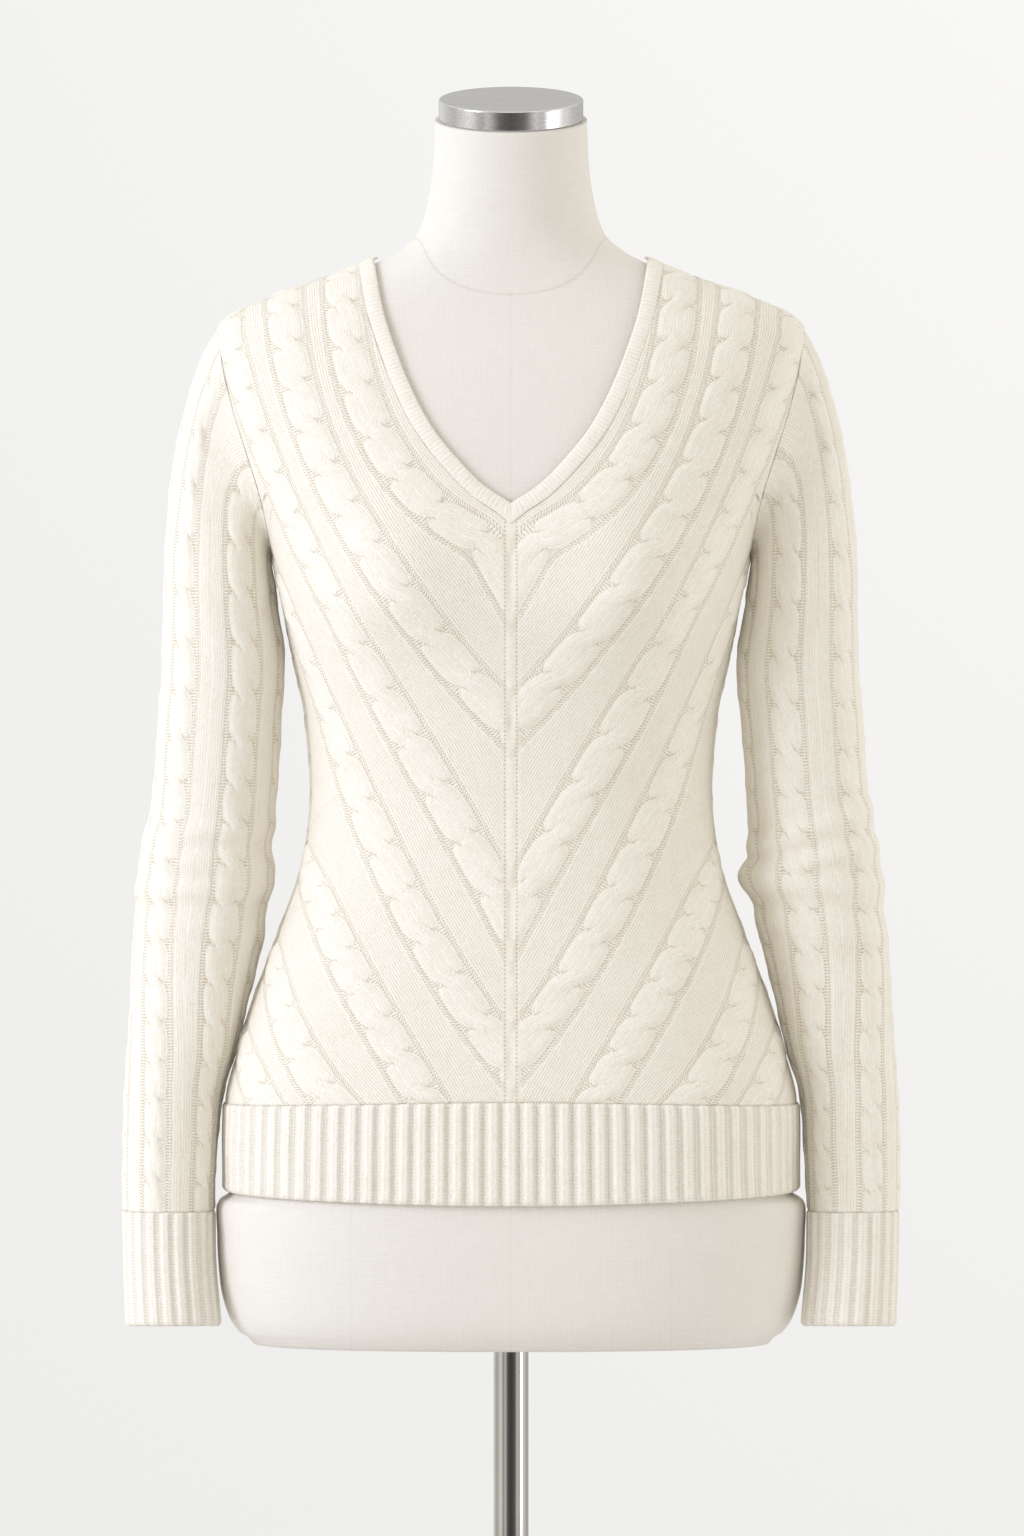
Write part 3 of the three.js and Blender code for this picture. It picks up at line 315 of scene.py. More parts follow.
def surface(arc, height):
    arc, height = np.broadcast_arrays(np.asarray(arc, float), np.asarray(height, float))
    share = np.clip(np.abs(arc) / total_at(height), 0, 1)
    turn = from_grid(TURN_AT, height - LEVELS[0], share * (len(SHARES) - 1))
    point = body_point(turn, height)
    point[..., 0] = np.where(arc < 0, -point[..., 0], point[..., 0])
    return point


def surface_frame(arc, height):
    total = total_at(height)
    past = np.abs(arc) > total - 1
    across = surface(arc + 1, height) - surface(arc - 1, height)
    mirrored = surface(2 * total - arc - 1, height) * np.array([-1, 1, 1]) - surface(arc - 1, height)
    across = np.where(past[..., None], mirrored, across) / 2
    up = (surface(arc, height + 1) - surface(arc, height - 1)) / 2
    return surface(arc, height), across, up, unit(np.cross(across, up))


def offset(arc, height, out):
    point, _, _, normal = surface_frame(arc, height)
    return point + normal * np.asarray(out)[..., None]


def walk(arc, height, move, steps=4):
    for _ in range(steps):
        _, across, up, _ = surface_frame(arc, height)
        part = move / steps
        aa, uu, au = dot(across, across), dot(up, up), dot(across, up)
        det = aa * uu - au * au
        arc, height = (
            arc + (dot(part, across) * uu - dot(part, up) * au) / det,
            height + (dot(part, up) * aa - dot(part, across) * au) / det,
        )
    return arc, height


def front_arc(x, height):
    """The arc of the place on the front with that width from the centre plane."""
    c = np.clip(x / torso["half"](height), 0, 1) ** (torso["square"](height) / 2)
    column = (-np.arccos(c) - TURNS[0]) / (TURNS[1] - TURNS[0])
    return from_grid(ALONG, height - LEVELS[0], column)


RUN_LEVELS = np.arange(0.0, 771.0)
RUNS = np.concatenate([[0], np.cumsum(np.hypot(1, np.diff(torso["half"](RUN_LEVELS))))])


def run_at(height):
    return np.interp(height, RUN_LEVELS, RUNS)


def height_at(run):
    return np.interp(run, RUNS, RUN_LEVELS)


# ---- Edges of the panels ----
def wave(arc, height):
    return np.cos(math.pi / 2 * np.clip(np.abs(arc) / side_at(height), 0, 1)) ** 2


def hem_top(arc, front):
    return HEM["top"] + np.where(front, HEM["lift"], 0) * wave(arc, HEM["top"])


def hem_bottom(arc, front):
    return HEM["bottom"] - np.where(front, HEM["dip"], 0) * wave(arc, HEM["bottom"])


HOLE_LOW, HOLE_HIGH = run_at(ARMHOLE["bottom"]), run_at(ARMHOLE["top"])
HOLE_MIDDLE, HOLE_HALF = (HOLE_LOW + HOLE_HIGH) / 2, (HOLE_HIGH - HOLE_LOW) / 2


def armhole_place(turn, inset):
    height = height_at(HOLE_MIDDLE + (HOLE_HALF - inset) * np.cos(turn))
    widest = np.where(np.sin(turn) > 0, ARMHOLE["front"], ARMHOLE["back"]) - inset
    return side_at(height) - widest * np.sin(turn) * (1 - ARMHOLE["skew"] * np.cos(turn)), height


def hole_aside(run, widest):
    """How far the armhole's edge lies from the side line at a run."""
    c = np.clip((run - HOLE_MIDDLE) / HOLE_HALF, -1, 1)
    return widest * np.sqrt(1 - c * c) * (1 - ARMHOLE["skew"] * c)


neck_x = curve_of(NECKLINE, "height", "x")
NECK_TOP = NECKLINE[-1]["height"]
NECK_POINT = NECKLINE[0]["height"]


def neck_line(width):
    """The neckline moved that far from the opening, from the V to the back's middle: arcs and heights."""
    n, m = NECKBAND["stations"], NECKBAND["back"]
    t = 1 - (1 - np.arange(n) / n) ** NECK_SPREAD["front"]
    front = mix(NECK_POINT, NECK_TOP, t)
    b = np.arange(m + 1) / m
    back = NECK_TOP - BACK_NECK_DROP * (1 - (1 - b) ** 2) ** NECK_SPREAD["back"]
    height = np.concatenate([front, back])
    arc = np.concatenate([front_arc(neck_x(front), front), mix(side_at(back), total_at(back), b)])
    points = surface(arc, height)
    along = unit(points[2:] - points[:-2])
    normal = surface_frame(arc[1:-1], height[1:-1])[3]
    moved = walk(arc[1:-1], height[1:-1], unit(np.cross(along, normal)) * width)
    out_arc, out_height = arc.copy(), height.copy()
    out_arc[1:-1], out_height[1:-1] = moved
    out_arc[0], out_height[0] = 0, height[0] - width * MITRE
    out_height[n] = height_at(run_at(height[n]) - width)
    out_arc[n] = side_at(out_height[n])
    out_height[-1] = height[-1] - width * BACK_NECK_FALL
    out_arc[-1] = total_at(out_height[-1])
    return out_arc, out_height


# ---- Knitted relief ----
class Path:
    """A cable's middle line on the body, with its directions and its crossings."""

    def __init__(self, arc, height, past_rate, first, pitch, end_pitch):
        self.points, _, _, normal = surface_frame(arc, height)
        self.along = distances(self.points)
        self.way = unit(np.gradient(self.points, axis=0))
        self.sideways = unit(np.cross(self.way, normal))
        self.first, self.pitch, self.end_pitch = first, pitch, end_pitch
        self.length, self.past_rate = self.along[LINE["points"] - 1], past_rate

    def measure(self, points):
        """Signed distance from the line, distance along it, and how far the nearest point is."""
        flat = points.reshape(-1, 3)
        far = (flat**2).sum(1)[:, None] - 2 * flat @ self.points.T + (self.points**2).sum(1)[None]
        near = far.argmin(1)
        away = flat - self.points[near]
        across, along = dot(away, self.sideways[near]), self.along[near] + dot(away, self.way[near])
        shape = points.shape[:-1]
        return across.reshape(shape), along.reshape(shape), np.linalg.norm(away, axis=1).reshape(shape)

    def phase(self, along):
        """A whole number at each crossing."""
        past = np.maximum(along - self.length - LINE["bend"] / 2, 0)
        along = along - past * (1 - self.past_rate)
        growth = (self.end_pitch - self.pitch) / self.length
        start = self.pitch + growth * self.first
        if abs(growth) < 1e-3:
            return (along - self.first) / self.pitch
        return np.log(np.maximum(self.pitch + growth * along, 10) / start) / growth


def front_path(row):
    length = math.hypot(row["topX"] - row["endX"], row["topHeight"] - row["endHeight"])
    top, end = math.radians(row["topLean"]), math.radians(row["endLean"])
    a, b, c = hermite(np.linspace(0, 1, LINE["points"]))
    x = a * row["topX"] - b * math.sin(top) * length + (1 - a) * row["endX"] - c * math.sin(end) * length
    height = a * row["topHeight"] - b * math.cos(top) * length
    height += (1 - a) * row["endHeight"] - c * math.cos(end) * length
    step = LINE["step"]
    beyond = np.arange(step, LINE["beyond"], step)
    lean = mix(end, math.radians(row["pastLean"]), smooth(0, LINE["bend"], beyond))
    x = np.append(x, row["endX"] - np.cumsum(np.sin(lean)) * step)
    height = np.append(height, row["endHeight"] - np.cumsum(np.cos(lean)) * step)
    arc = front_arc(np.abs(x), height) * np.sign(x)
    return Path(arc, height, row["pastRate"], row["first"], row["pitch"], row["endPitch"])


def strand_place(phase, k):
    """Where a strand runs between the cable's sides: gently on top, and sharply where it is hidden."""
    side, lift = np.sin(math.pi * phase), np.cos(math.pi * phase)
    over = np.tanh(STRAND["over"] * side) / math.tanh(STRAND["over"])
    under = np.tanh(STRAND["under"] * side) / math.tanh(STRAND["under"])
    return k * STRAND["swing"] * mix(under, over, smooth(-0.3, 0.3, k * lift))


def cable(across, phase, half):
    """A two-strand cable: its height, its wales, and its distances from creases and from its outline."""
    a = across / half
    one, two = strand_place(phase, 1), strand_place(phase, -1)
    inside = np.minimum(np.maximum(one, two) - a, a - np.minimum(one, two)) * half + STRAND["reach"] * half
    lift = np.cos(math.pi * phase)
    front = np.where(lift > 0, one, two)
    top = (STRAND["reach"] - np.abs(a - front)) * half
    raised = smooth(0.3, 0.95, np.abs(lift))
    window = bell(phase - np.round(phase), CREASE["reach"])
    high = STRAND["edge_share"] * smooth(-0.7, STRAND["roll"], inside)
    high += STRAND["crown_share"] * smooth(0, half, inside)
    high = STRAND["thick"] * high + STRAND["lift"] * raised * smooth(0, STRAND["shoulder"], top)
    high -= CREASE["deep"] * bell(top, CREASE["width"]) * window * smooth(0, 1.5, inside)
    wale = (a - np.where(np.abs(a - one) < np.abs(a - two), one, two)) * half
    return high, wale, top, inside, window


def knit_field(across, along, phase, half):
    """Relief and stitch coordinates in a cable's zone, from the border of one band to the next."""
    high, wale, top, inside, window = cable(across, phase, half)
    edge = np.abs(across) - half - GUTTER["wide"]
    on = inside > 0
    # Columns run on from the cable's outline into the gutter, and straighten on their way across it.
    beyond = mix(-inside, np.abs(across) - half, smooth(0, 3, -inside))
    purl = np.where(on, -0.5 * smooth(0, 1.5, inside), smooth(-0.3, 0.3, -inside) * smooth(-0.3, 0.3, -edge))
    return {
        "rise": band_rise(edge) + high,
        "wale": np.where(on, np.abs(wale), STRAND["reach"] * half + beyond),
        "course": along,
        "purl": purl,
        "crease": np.where(on, top, AWAY["crease"]),
        "outline": inside,
        "window": window,
        "edge": edge,
    }


def band_rise(edge):
    """The level of a band beside the gutter."""
    return mix(-GUTTER["deep"], GUTTER["band"], smooth(-1.2, 0.8, edge))


def attributes(field):
    """Stitch coordinates for the wool's shader, in a cable's zone and in the band beside it."""
    knit = np.stack([field["wale"], field["course"], field["purl"]], -1)
    wale, course = field.get("band_wale", field["wale"]), field.get("band_course", field["course"])
    band = np.stack(np.broadcast_arrays(wale, course, 0.0), -1)
    near = {name: np.clip(field[name], -abs(away), abs(away)) for name, away in AWAY.items()}
    fold = np.stack([near["crease"], near["outline"], field["window"]], -1)
    return {"knit": knit, "band": band, "fold": fold, "edge": near["edge"]}


# ---- Making meshes ----
PLAIN = {"knit": (0, 0, 0), "band": (0, 0, 0), "fold": (AWAY["crease"], AWAY["outline"], 0)}
PLAIN["edge"] = AWAY["edge"]


class Piece:
    """Points in millimetres, faces and stitch coordinates of one mesh."""

    def __init__(self):
        self.points, self.faces, self.flat, self.count = [], [], [], 0
        self.values = {name: [] for name in PLAIN}

    def add(self, points, values=None):
        points = np.asarray(points, float)
        number = points[..., 0].size
        if values and "band" not in values:
            values = {**values, "band": values["knit"]}
        self.points.append(points.reshape(-1, 3))
        for name, plain in PLAIN.items():
            width = np.size(plain)
            given = (values or {}).get(name)
            filled = np.broadcast_to(plain, (number, width)) if given is None else np.asarray(given)
            self.values[name].append(filled.reshape(number, width))
        ids = np.arange(self.count, self.count + number).reshape(points.shape[:-1])
        self.count += number
        return ids

    def grid(self, ids):
        quads = np.stack([ids[:-1, :-1], ids[:-1, 1:], ids[1:, 1:], ids[1:, :-1]], -1)
        self.faces += quads.reshape(-1, 4).tolist()
        self.flat += [False] * (quads.size // 4)

    def wall(self, outer, inner):
        """The outer and inner side of a wall, joined along the first and the last row."""
        self.grid(outer)
        self.grid(inner)
        self.bridge(outer[0], inner[0])
        self.bridge(outer[-1], inner[-1])

    def fan(self, ring, centre):
        self.faces += [[int(a), int(b), int(centre)] for a, b in zip(ring, np.roll(ring, -1))]
        self.flat += [True] * len(ring)

    def bridge(self, first, second):
        """Triangles between two lines of points that start and end side by side."""
        at = [np.linspace(0, 1, len(line)) for line in (first, second)]
        i = j = 0
        while i < len(first) - 1 or j < len(second) - 1:
            next_i = at[0][i + 1] if i < len(first) - 1 else 2
            next_j = at[1][j + 1] if j < len(second) - 1 else 2
            if next_i <= next_j:
                self.faces.append([int(first[i]), int(first[i + 1]), int(second[j])])
                i += 1
            else:
                self.faces.append([int(first[i]), int(second[j + 1]), int(second[j])])
                j += 1
            self.flat.append(True)


def mesh_object(name, piece, material):
    mesh = bpy.data.meshes.new(name)
    mesh.from_pydata((np.concatenate(piece.points) * MM).tolist(), [], piece.faces)
    for attribute, plain in PLAIN.items():
        kind, key = ("FLOAT_VECTOR", "vector") if np.size(plain) == 3 else ("FLOAT", "value")
        layer = mesh.attributes.new(attribute, kind, "POINT")
        layer.data.foreach_set(key, np.concatenate(piece.values[attribute]).astype(np.float32).ravel())
    form = bmesh.new()
    form.from_mesh(mesh)
    bmesh.ops.recalc_face_normals(form, faces=form.faces)
    form.to_mesh(mesh)
    form.free()
    mesh.polygons.foreach_set("use_smooth", [not flat for flat in piece.flat])
    mesh.materials.append(material)
    obj = bpy.data.objects.new(name, mesh)
    bpy.context.scene.collection.objects.link(obj)
    return obj


def make(name, piece, material, node):
    """A visible piece in the place of one solid."""
    obj = mesh_object(name, piece, material)
    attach(obj, "root")
    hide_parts(node)
    return obj


def closed(ids):
    return np.concatenate([ids, ids[:, :1]], 1)


def tube(outer, inner, values):
    """A tube's wall from its outer and inner rings, each an array of rows round it."""
    piece = Piece()
    piece.wall(closed(piece.add(outer, values)), closed(piece.add(inner)))
    return piece


# ---- Materials ----
class Value:
    """A number or colour in a node tree. Plain arithmetic on it adds nodes."""

    def __init__(self, nodes, socket):
        self.nodes, self.socket = nodes, socket

    def __add__(self, other):
        return self.nodes.math("ADD", self, other)

    def __sub__(self, other):
        return self.nodes.math("SUBTRACT", self, other)

    def __rsub__(self, other):
        return self.nodes.math("SUBTRACT", other, self)

    def __mul__(self, other):
        return self.nodes.math("MULTIPLY", self, other)

    def __pow__(self, other):
        return self.nodes.math("POWER", self, other)

    def __abs__(self):
        return self.nodes.math("ABSOLUTE", self)

    __radd__, __rmul__ = __add__, __mul__


class Nodes:
    """Builds the node tree of a material or world from short expressions."""

    def __init__(self, owner):
        owner.use_nodes = True
        self.owner, self.tree = owner, owner.node_tree

    def put(self, socket, value):
        if isinstance(value, Value):
            self.tree.links.new(value.socket, socket)
        else:
            socket.default_value = value

    def node(self, kind, inputs=(), **settings):
        node = self.tree.nodes.new("ShaderNode" + kind)
        for key, value in settings.items():
            setattr(node, key, value)
        for key, value in dict(inputs).items():
            self.put(node.inputs[key], value)
        return node

    def value(self, kind, inputs=(), output=0, **settings):
        return Value(self, self.node(kind, inputs, **settings).outputs[output])

    def math(self, operation, a, b=0.0):
        return self.value("Math", {0: a, 1: b}, operation=operation)

    def parts(self, vector):
        return [Value(self, output) for output in self.node("SeparateXYZ", {0: vector}).outputs]

    def vector(self, x, y, z=0.0):
        return self.value("CombineXYZ", {0: x, 1: y, 2: z})

    def attribute(self, name):
        return self.parts(self.value("Attribute", (), "Vector", attribute_name=name))

    def place(self):
        return self.value("TexCoord", (), "Object")

    def cosine(self, turns):
        """Half plus half a cosine: 1 at whole turns."""
        return self.math("COSINE", turns * (2 * math.pi)) * 0.5 + 0.5

    def line(self, distance, middle, width):
        """1 on a soft line, and 0 away from it."""
        away = (distance - middle) * (1 / width)
        return self.math("EXPONENT", away * away * -1)

    def noise(self, vector, scale, detail=2.0, roughness=0.5):
        inputs = {"Vector": vector, "Scale": scale, "Detail": detail, "Roughness": roughness}
        return self.value("TexNoise", inputs, "Fac")

    def ramp(self, value, stops):
        node = self.node("ValToRGB", {"Fac": value})
        elements = node.color_ramp.elements
        while len(elements) < len(stops):
            elements.new(0.5)
        for element, (at, colour) in zip(elements, stops):
            element.position = at
            element.color = (*colour, 1)
        return Value(self, node.outputs["Color"])

    def ranged(self, value, low, high):
        return self.value("MapRange", {0: value, 1: low, 2: high})

    def mixed(self, share, first, second):
        return self.value("Mix", {0: share, 6: first, 7: second}, 2, data_type="RGBA")

    def bump(self, height, distance, strength):
        return self.value("Bump", {"Height": height, "Distance": distance, "Strength": strength}, "Normal")

    def finish(self, kind="BSDF_PRINCIPLED", **sockets):
        shader = next(node for node in self.tree.nodes if node.type == kind)
        for key, value in sockets.items():
            self.put(shader.inputs[key.replace("_", " ")], value)
        return self.owner


# Widths in millimetres and shares of the wool's stitches.
STITCH = {"course": 1.7, "legs": 0.25, "purl_pitch": 1.95, "purl_row": 4.4, "purl_width": 2.3, "slant": 0.2}
# Places and half widths of soft lines, in millimetres from a strand's top, a band's edge and a cable's outline:
# painted shade in a crease, painted highlights on a band's edge and a cable's rim, and a painted shadow at a
# cable's foot.
CREASE_SHADE_LINE, BAND_HIGHLIGHT_LINE, RIM_HIGHLIGHT_LINE, FOOT_SHADOW_LINE = (-0.1, 0.55), (0.85, 0.5), (0.2, 0.5), (-0.8, 0.6)
HOLE_HALF_WIDTH = 0.6


def wool_material(name, light, shade, wale=1.65, depth=1.0):
    """Knitted wool, with shade painted into its hollows, creases and holes and highlights painted on its rims.
    wale is a column's width, and depth says how clearly the plain stitches show.
    """
    n = Nodes(bpy.data.materials.new(name))
    place = n.place()
    across, along, kind = n.attribute("knit")
    band_across, band_along, _ = n.attribute("band")
    top, inside, window = n.attribute("fold")
    edge = n.value("Attribute", (), "Fac", attribute_name="edge")
    in_band = n.math("GREATER_THAN", edge, 0.0)
    across, along = mix(across, band_across, in_band), mix(along, band_along, in_band)
    purl = n.math("MINIMUM", n.math("MAXIMUM", kind, 0.0), 1.0)
    worn = n.math("MAXIMUM", kind * -1, 0.0)
    near, spine = n.math("MAXIMUM", window, 0.0), n.math("MINIMUM", window, 0.0) * -1
    drawn = 1 - spine
    wobble = (n.noise(place, 260) - 0.5) * 0.55
    fuzz, soft = n.noise(place, 1700, 3, 0.7), n.noise(place, 75) - 0.5
    felt = n.noise(place, 420, 3, 0.65) - 0.5
    # Plain stitches: two slanted legs in each column.
    column = across * (1 / wale) + wobble
    leg = abs(n.math("FRACT", column) - 0.5)
    stitch = n.cosine(along * (1 / STITCH["course"]) + leg)
    plain = (1 - n.cosine(column)) ** 0.8 * (stitch * STITCH["legs"] + (1 - STITCH["legs"]))
    plain = mix(mix(0.5, plain, depth), 0.5, worn)
    # Purl stitches: slanted bars across the gutter, broken into rows.
    row = n.math("SINE", across * (2 * math.pi / STITCH["purl_row"])) * 0.25
    slant = along * (1 / STITCH["purl_pitch"]) + across * STITCH["slant"]
    breaks = n.cosine(across * (1 / STITCH["purl_width"]) + wobble)
    loops = n.cosine(slant + row + wobble * 1.4) * 0.72 + breaks * 0.28
    height = mix(mix(plain, loops, purl), 0.45, spine)
    # Painted shade in the creases between strands and a painted shadow just outside a cable's outline, and
    # painted highlights on a cable's outline and a band's first column.
    crease = n.line(top, *CREASE_SHADE_LINE) * near * n.math("GREATER_THAN", inside, 0.2)
    painted_highlight = (n.line(edge, *BAND_HIGHLIGHT_LINE) + n.line(inside, *RIM_HIGHLIGHT_LINE) * 0.8) * drawn
    foot_shadow = n.line(inside, *FOOT_SHADOW_LINE) * drawn
    # Small holes in a row on each side of the front's middle column, drawn as painted shade.
    x, _, z = n.parts(place)
    hole = n.cosine(z * (1 / MM / SPINE["pitch"])) ** 1.5
    hole_shade = n.line(abs(x) * (1 / MM), SPINE["groove"], HOLE_HALF_WIDTH) * hole * spine
    # The painted shade of the creases, of a cable's foot and of the holes, which also sinks the bump.
    painted_shade = crease * 0.9 + foot_shadow * 0.35 + hole_shade * 1.2
    relief = height * (purl * 0.35 + 0.45) + fuzz * 0.2 + felt + painted_highlight * 0.12 - painted_shade * 0.6
    # The colour runs from painted shade in the stitches' hollows, deeper in the purl gutters, to the wool's own
    # colour, with random tone, painted highlights and the painted shade added.
    tone_and_painted_light = mix(height * 0.75 + 0.3, height * 1.35 - 0.1, purl)
    tone_and_painted_light = tone_and_painted_light + soft * 0.25 + felt * 0.5 + painted_highlight * 0.28 - painted_shade * 0.55
    return n.finish(
        Base_Color=n.ramp(tone_and_painted_light, [(0.0, shade), (0.8, light)]),
        Roughness=0.92,
        Specular_IOR_Level=0.2,
        Sheen_Weight=0.25,
        Sheen_Roughness=0.45,
        Sheen_Tint=(1.0, 0.98, 0.94, 1.0),
        Normal=n.bump(relief, 0.6 * MM, 0.85),
    )


def linen_material(thread=1.1):
    n = Nodes(bpy.data.materials.new("linen_cloth"))
    across, along, _ = n.attribute("knit")
    neck, middle, princess = n.attribute("fold")
    wobble = n.noise(n.place(), 120)
    weave = n.cosine(across * (1 / thread) + wobble) + n.cosine(along * (1 / thread) + wobble)
    slubs = n.noise(n.vector(across, along * 0.05), 1, 3, 0.6)
    slubs = slubs + n.noise(n.vector(across * 0.06, along * 0.9), 1, 3, 0.6)
    threads = weave * 0.22 + slubs * 0.4
    sewn = n.line(neck, 0, 0.7) + (n.line(middle, 0, 0.6) + n.line(princess, 0, 0.55)) * 0.4
    tones = [(0.0, (0.56, 0.51, 0.43)), (0.35, (0.765, 0.722, 0.655)), (0.9, (0.865, 0.832, 0.775))]
    return n.finish(
        Base_Color=n.ramp(threads - sewn * 0.28, tones),
        Roughness=0.88,
        Specular_IOR_Level=0.25,
        Sheen_Weight=0.1,
        Sheen_Roughness=0.5,
        Normal=n.bump(threads - sewn * 0.7, 0.35 * MM, 0.7),
    )


def brushed_material():
    n = Nodes(bpy.data.materials.new("brushed_steel_face"))
    x, y, z = n.parts(n.place())
    brush = n.noise(n.vector(x * 12, y * 900, z * 900), 1, 4, 0.6)
    return n.finish(
        Base_Color=n.ramp(brush, [(0.3, (0.68, 0.67, 0.655)), (0.75, (0.88, 0.87, 0.855))]),
        Metallic=1.0,
        Roughness=0.19,
        Anisotropic=0.5,
        Normal=n.bump(brush, 0.03 * MM, 0.5),
    )


def steel_material(name, tint, roughness, streak):
    n = Nodes(bpy.data.materials.new(name))
    place = n.place()
    x, y, z = n.parts(place)
    streaks, smear = n.noise(n.vector(x * 500, y * 500, z * 8), 1, 3), n.noise(place, 30)
    return n.finish(
        Base_Color=n.ramp(smear, [(0.25, tuple(v * 0.94 for v in tint)), (0.75, tint)]),
        Metallic=1.0,
        Roughness=smear * (roughness * 0.6) + roughness * 0.7,
        Normal=n.bump(streaks, streak * MM, 0.4),
    )


# The wool's own colours, and the colours of the shade painted into its hollows, creases and holes.
LIGHT_WOOL, SHADE_WOOL = (0.93, 0.895, 0.81), (0.66, 0.57, 0.42)
LIGHT_RIB, SHADE_RIB = (0.935, 0.9, 0.82), (0.69, 0.61, 0.47)
wool = wool_material("cable_knit_wool", LIGHT_WOOL, SHADE_WOOL, depth=0.9)
sleeve_wool = wool_material("sleeve_knit_wool", LIGHT_WOOL, SHADE_WOOL, depth=0.45)
rib_wool = wool_material("rib_knit_wool", LIGHT_RIB, SHADE_RIB, wale=2.65, depth=0.35)
linen = linen_material()
brushed = brushed_material()
polished = steel_material("polished_steel", (0.62, 0.6, 0.57), 0.12, 0.01)
plate_steel = steel_material("base_plate_steel", (0.55, 0.535, 0.51), 0.3, 0.03)


# ---- Panels ----
def panel_rows(low, high, left, right, step):
    """Runs of the rows, closer together where an edge turns sharply."""
    rows = [low]
    while rows[-1] < high - 0.01:
        run, gap = rows[-1], step
        while gap > LEAST_GAP:
            moved = max(abs(float(edge(run + gap)) - float(edge(run))) for edge in (left, right))
            if moved <= EDGE_REACH:
                break
            gap /= 1.4
        rows.append(min(run + gap, high))
    return np.array(rows)


def panel(left, right, low, point_run, high, lift, field, step, from_front):
    """Half a panel on each side of the centre plane. Distances are from the panel's middle."""
    rows = panel_rows(low, high, left, right, step)
    rows = np.sort(np.append(rows[np.abs(rows - point_run) > 0.1], point_run))
    starts, ends = left(rows), right(rows)
    keep = ends - starts > LEAST_WIDTH
    rows, starts, ends = rows[keep], starts[keep], ends[keep]
    columns = int(np.max(ends - starts) / step)
    piece = Piece()
    split = int(np.argmax(starts > 0))  # from this row on the neck parts the halves

    def layer(rows_, starts_, ends_, count, outer, side):
        across = mix(starts_[:, None], ends_[:, None], np.linspace(0, 1, count + 1)[None])
        height = height_at(rows_)[:, None] + lift(across, rows_[:, None])
        total = total_at(height)
        arc = across if from_front else total - across
        point, _, _, normal = surface_frame(arc, height)
        if outer:
            values = field(point, across, height, side)
            out, values = WALL + values["rise"], attributes(values)
        else:
            out, values = np.full(arc.shape, INNER_OUT), None
        point = point + normal * out[..., None]
        point[..., 0] *= side
        point[:, 0, 0] = np.where(starts_ <= 0, 0, point[:, 0, 0])
        return point, values

    every = np.unique(np.append(np.arange(0, len(rows), INNER_EVERY), [len(rows) - 1, split, split - 1]))
    inner_split = int(np.where(every == split)[0][0])
    for side in (1, -1):
        outer, values = layer(rows, starts, ends, columns, True, side)
        inner, _ = layer(rows[every], starts[every], ends[every], columns // INNER_EVERY, False, side)
        out_ids, in_ids = piece.add(outer, values), piece.add(inner)
        if side == 1:
            middles = [out_ids[:split, 0], in_ids[:inner_split, 0]]
        else:
            out_ids[:split, 0], in_ids[:inner_split, 0] = middles
        piece.wall(out_ids, in_ids)
        piece.bridge(out_ids[:, -1], in_ids[:, -1])
        piece.bridge(out_ids[split - 1 :, 0], in_ids[inner_split - 1 :, 0])
    area = 2 * float(np.sum((ends[1:] + ends[:-1] - starts[1:] - starts[:-1]) / 2 * np.diff(rows)))
    return piece, (2 * float(ends.max()), float(rows[-1] - rows[0])), area


def fade(least, reach, distance):
    """The share of relief that is left at a distance from a seam."""
    return mix(least, 1, smooth(0, reach, distance))


def settle(field, point, from_side, from_hem, seed):
    """Soft unevenness over a panel, and its relief dying down beside the seams."""
    field["rise"] = field["rise"] + RIPPLE * waves(point, 45, 120, 10, seed)
    field["rise"] *= fade(*SIDE_FADE, from_side) * fade(*HEM_FADE, from_hem)
    return field


PATHS = [front_path(row) for row in FRONT_CABLES]


def front_field(point, across, height, side):
    """The relief of whichever cable, gutter or band lies at a point of the front."""
    zone = CABLE_HALF + GUTTER["wide"]
    measures = [path.measure(point) for path in PATHS]
    # The band takes its columns from the cable below it, or from the one above where there is none.
    wale, course = across, height
    edge = np.full(across.shape, float(AWAY["edge"]))
    above, below = np.full(across.shape, -FAR), np.full(across.shape, FAR)
    for w, s, far in measures:
        beside = far < np.abs(w) + PAST_END["band"]
        edge = np.where(beside & (np.abs(w) - zone < edge), np.abs(w) - zone, edge)
        over = beside & (w > 0) & (w < below)
        under = beside & (w < 0) & (below == FAR) & (w > above)
        wale = np.where(under | over, np.abs(w) - zone, wale)
        course = np.where(under | over, s, course)
        above, below = np.where(under, w, above), np.where(over, w, below)
    plain = np.zeros(across.shape)
    field = {"rise": band_rise(edge), "wale": wale, "course": course, "purl": plain, "edge": edge}
    field.update({"crease": plain + AWAY["crease"], "outline": plain + AWAY["outline"], "window": plain})
    nearest = np.full(across.shape, zone + 2 * FRONT_STEP)
    for path, (w, s, far) in zip(PATHS, measures):
        values = knit_field(w, s, path.phase(s), CABLE_HALF)
        here = (far < zone + PAST_END["cable"]) & (np.abs(w) < nearest)
        field = {name: np.where(here, values[name], field[name]) for name in field}
        nearest = np.where(here, np.abs(w), nearest)
    field["band_wale"], field["band_course"] = wale, course
    # A narrow column down the middle, between two rows of small holes.
    middle = 1 - smooth(SPINE["half"] - 0.5, SPINE["half"] + 0.9, across)
    beside = bell(across - SPINE["groove"], SPINE["groove_half"])
    crown = GUTTER["band"] + SPINE["rise"] * np.sqrt(np.clip(1 - (across / 3) ** 2, 0, 1))
    field["rise"] = mix(field["rise"], crown, middle) - SPINE["deep"] * beside
    field["window"] = np.where(across < SPINE["groove"] + 2, -1, field["window"])
    return settle(field, point, side_at(height) - across, height - hem_top(across, True), 3)


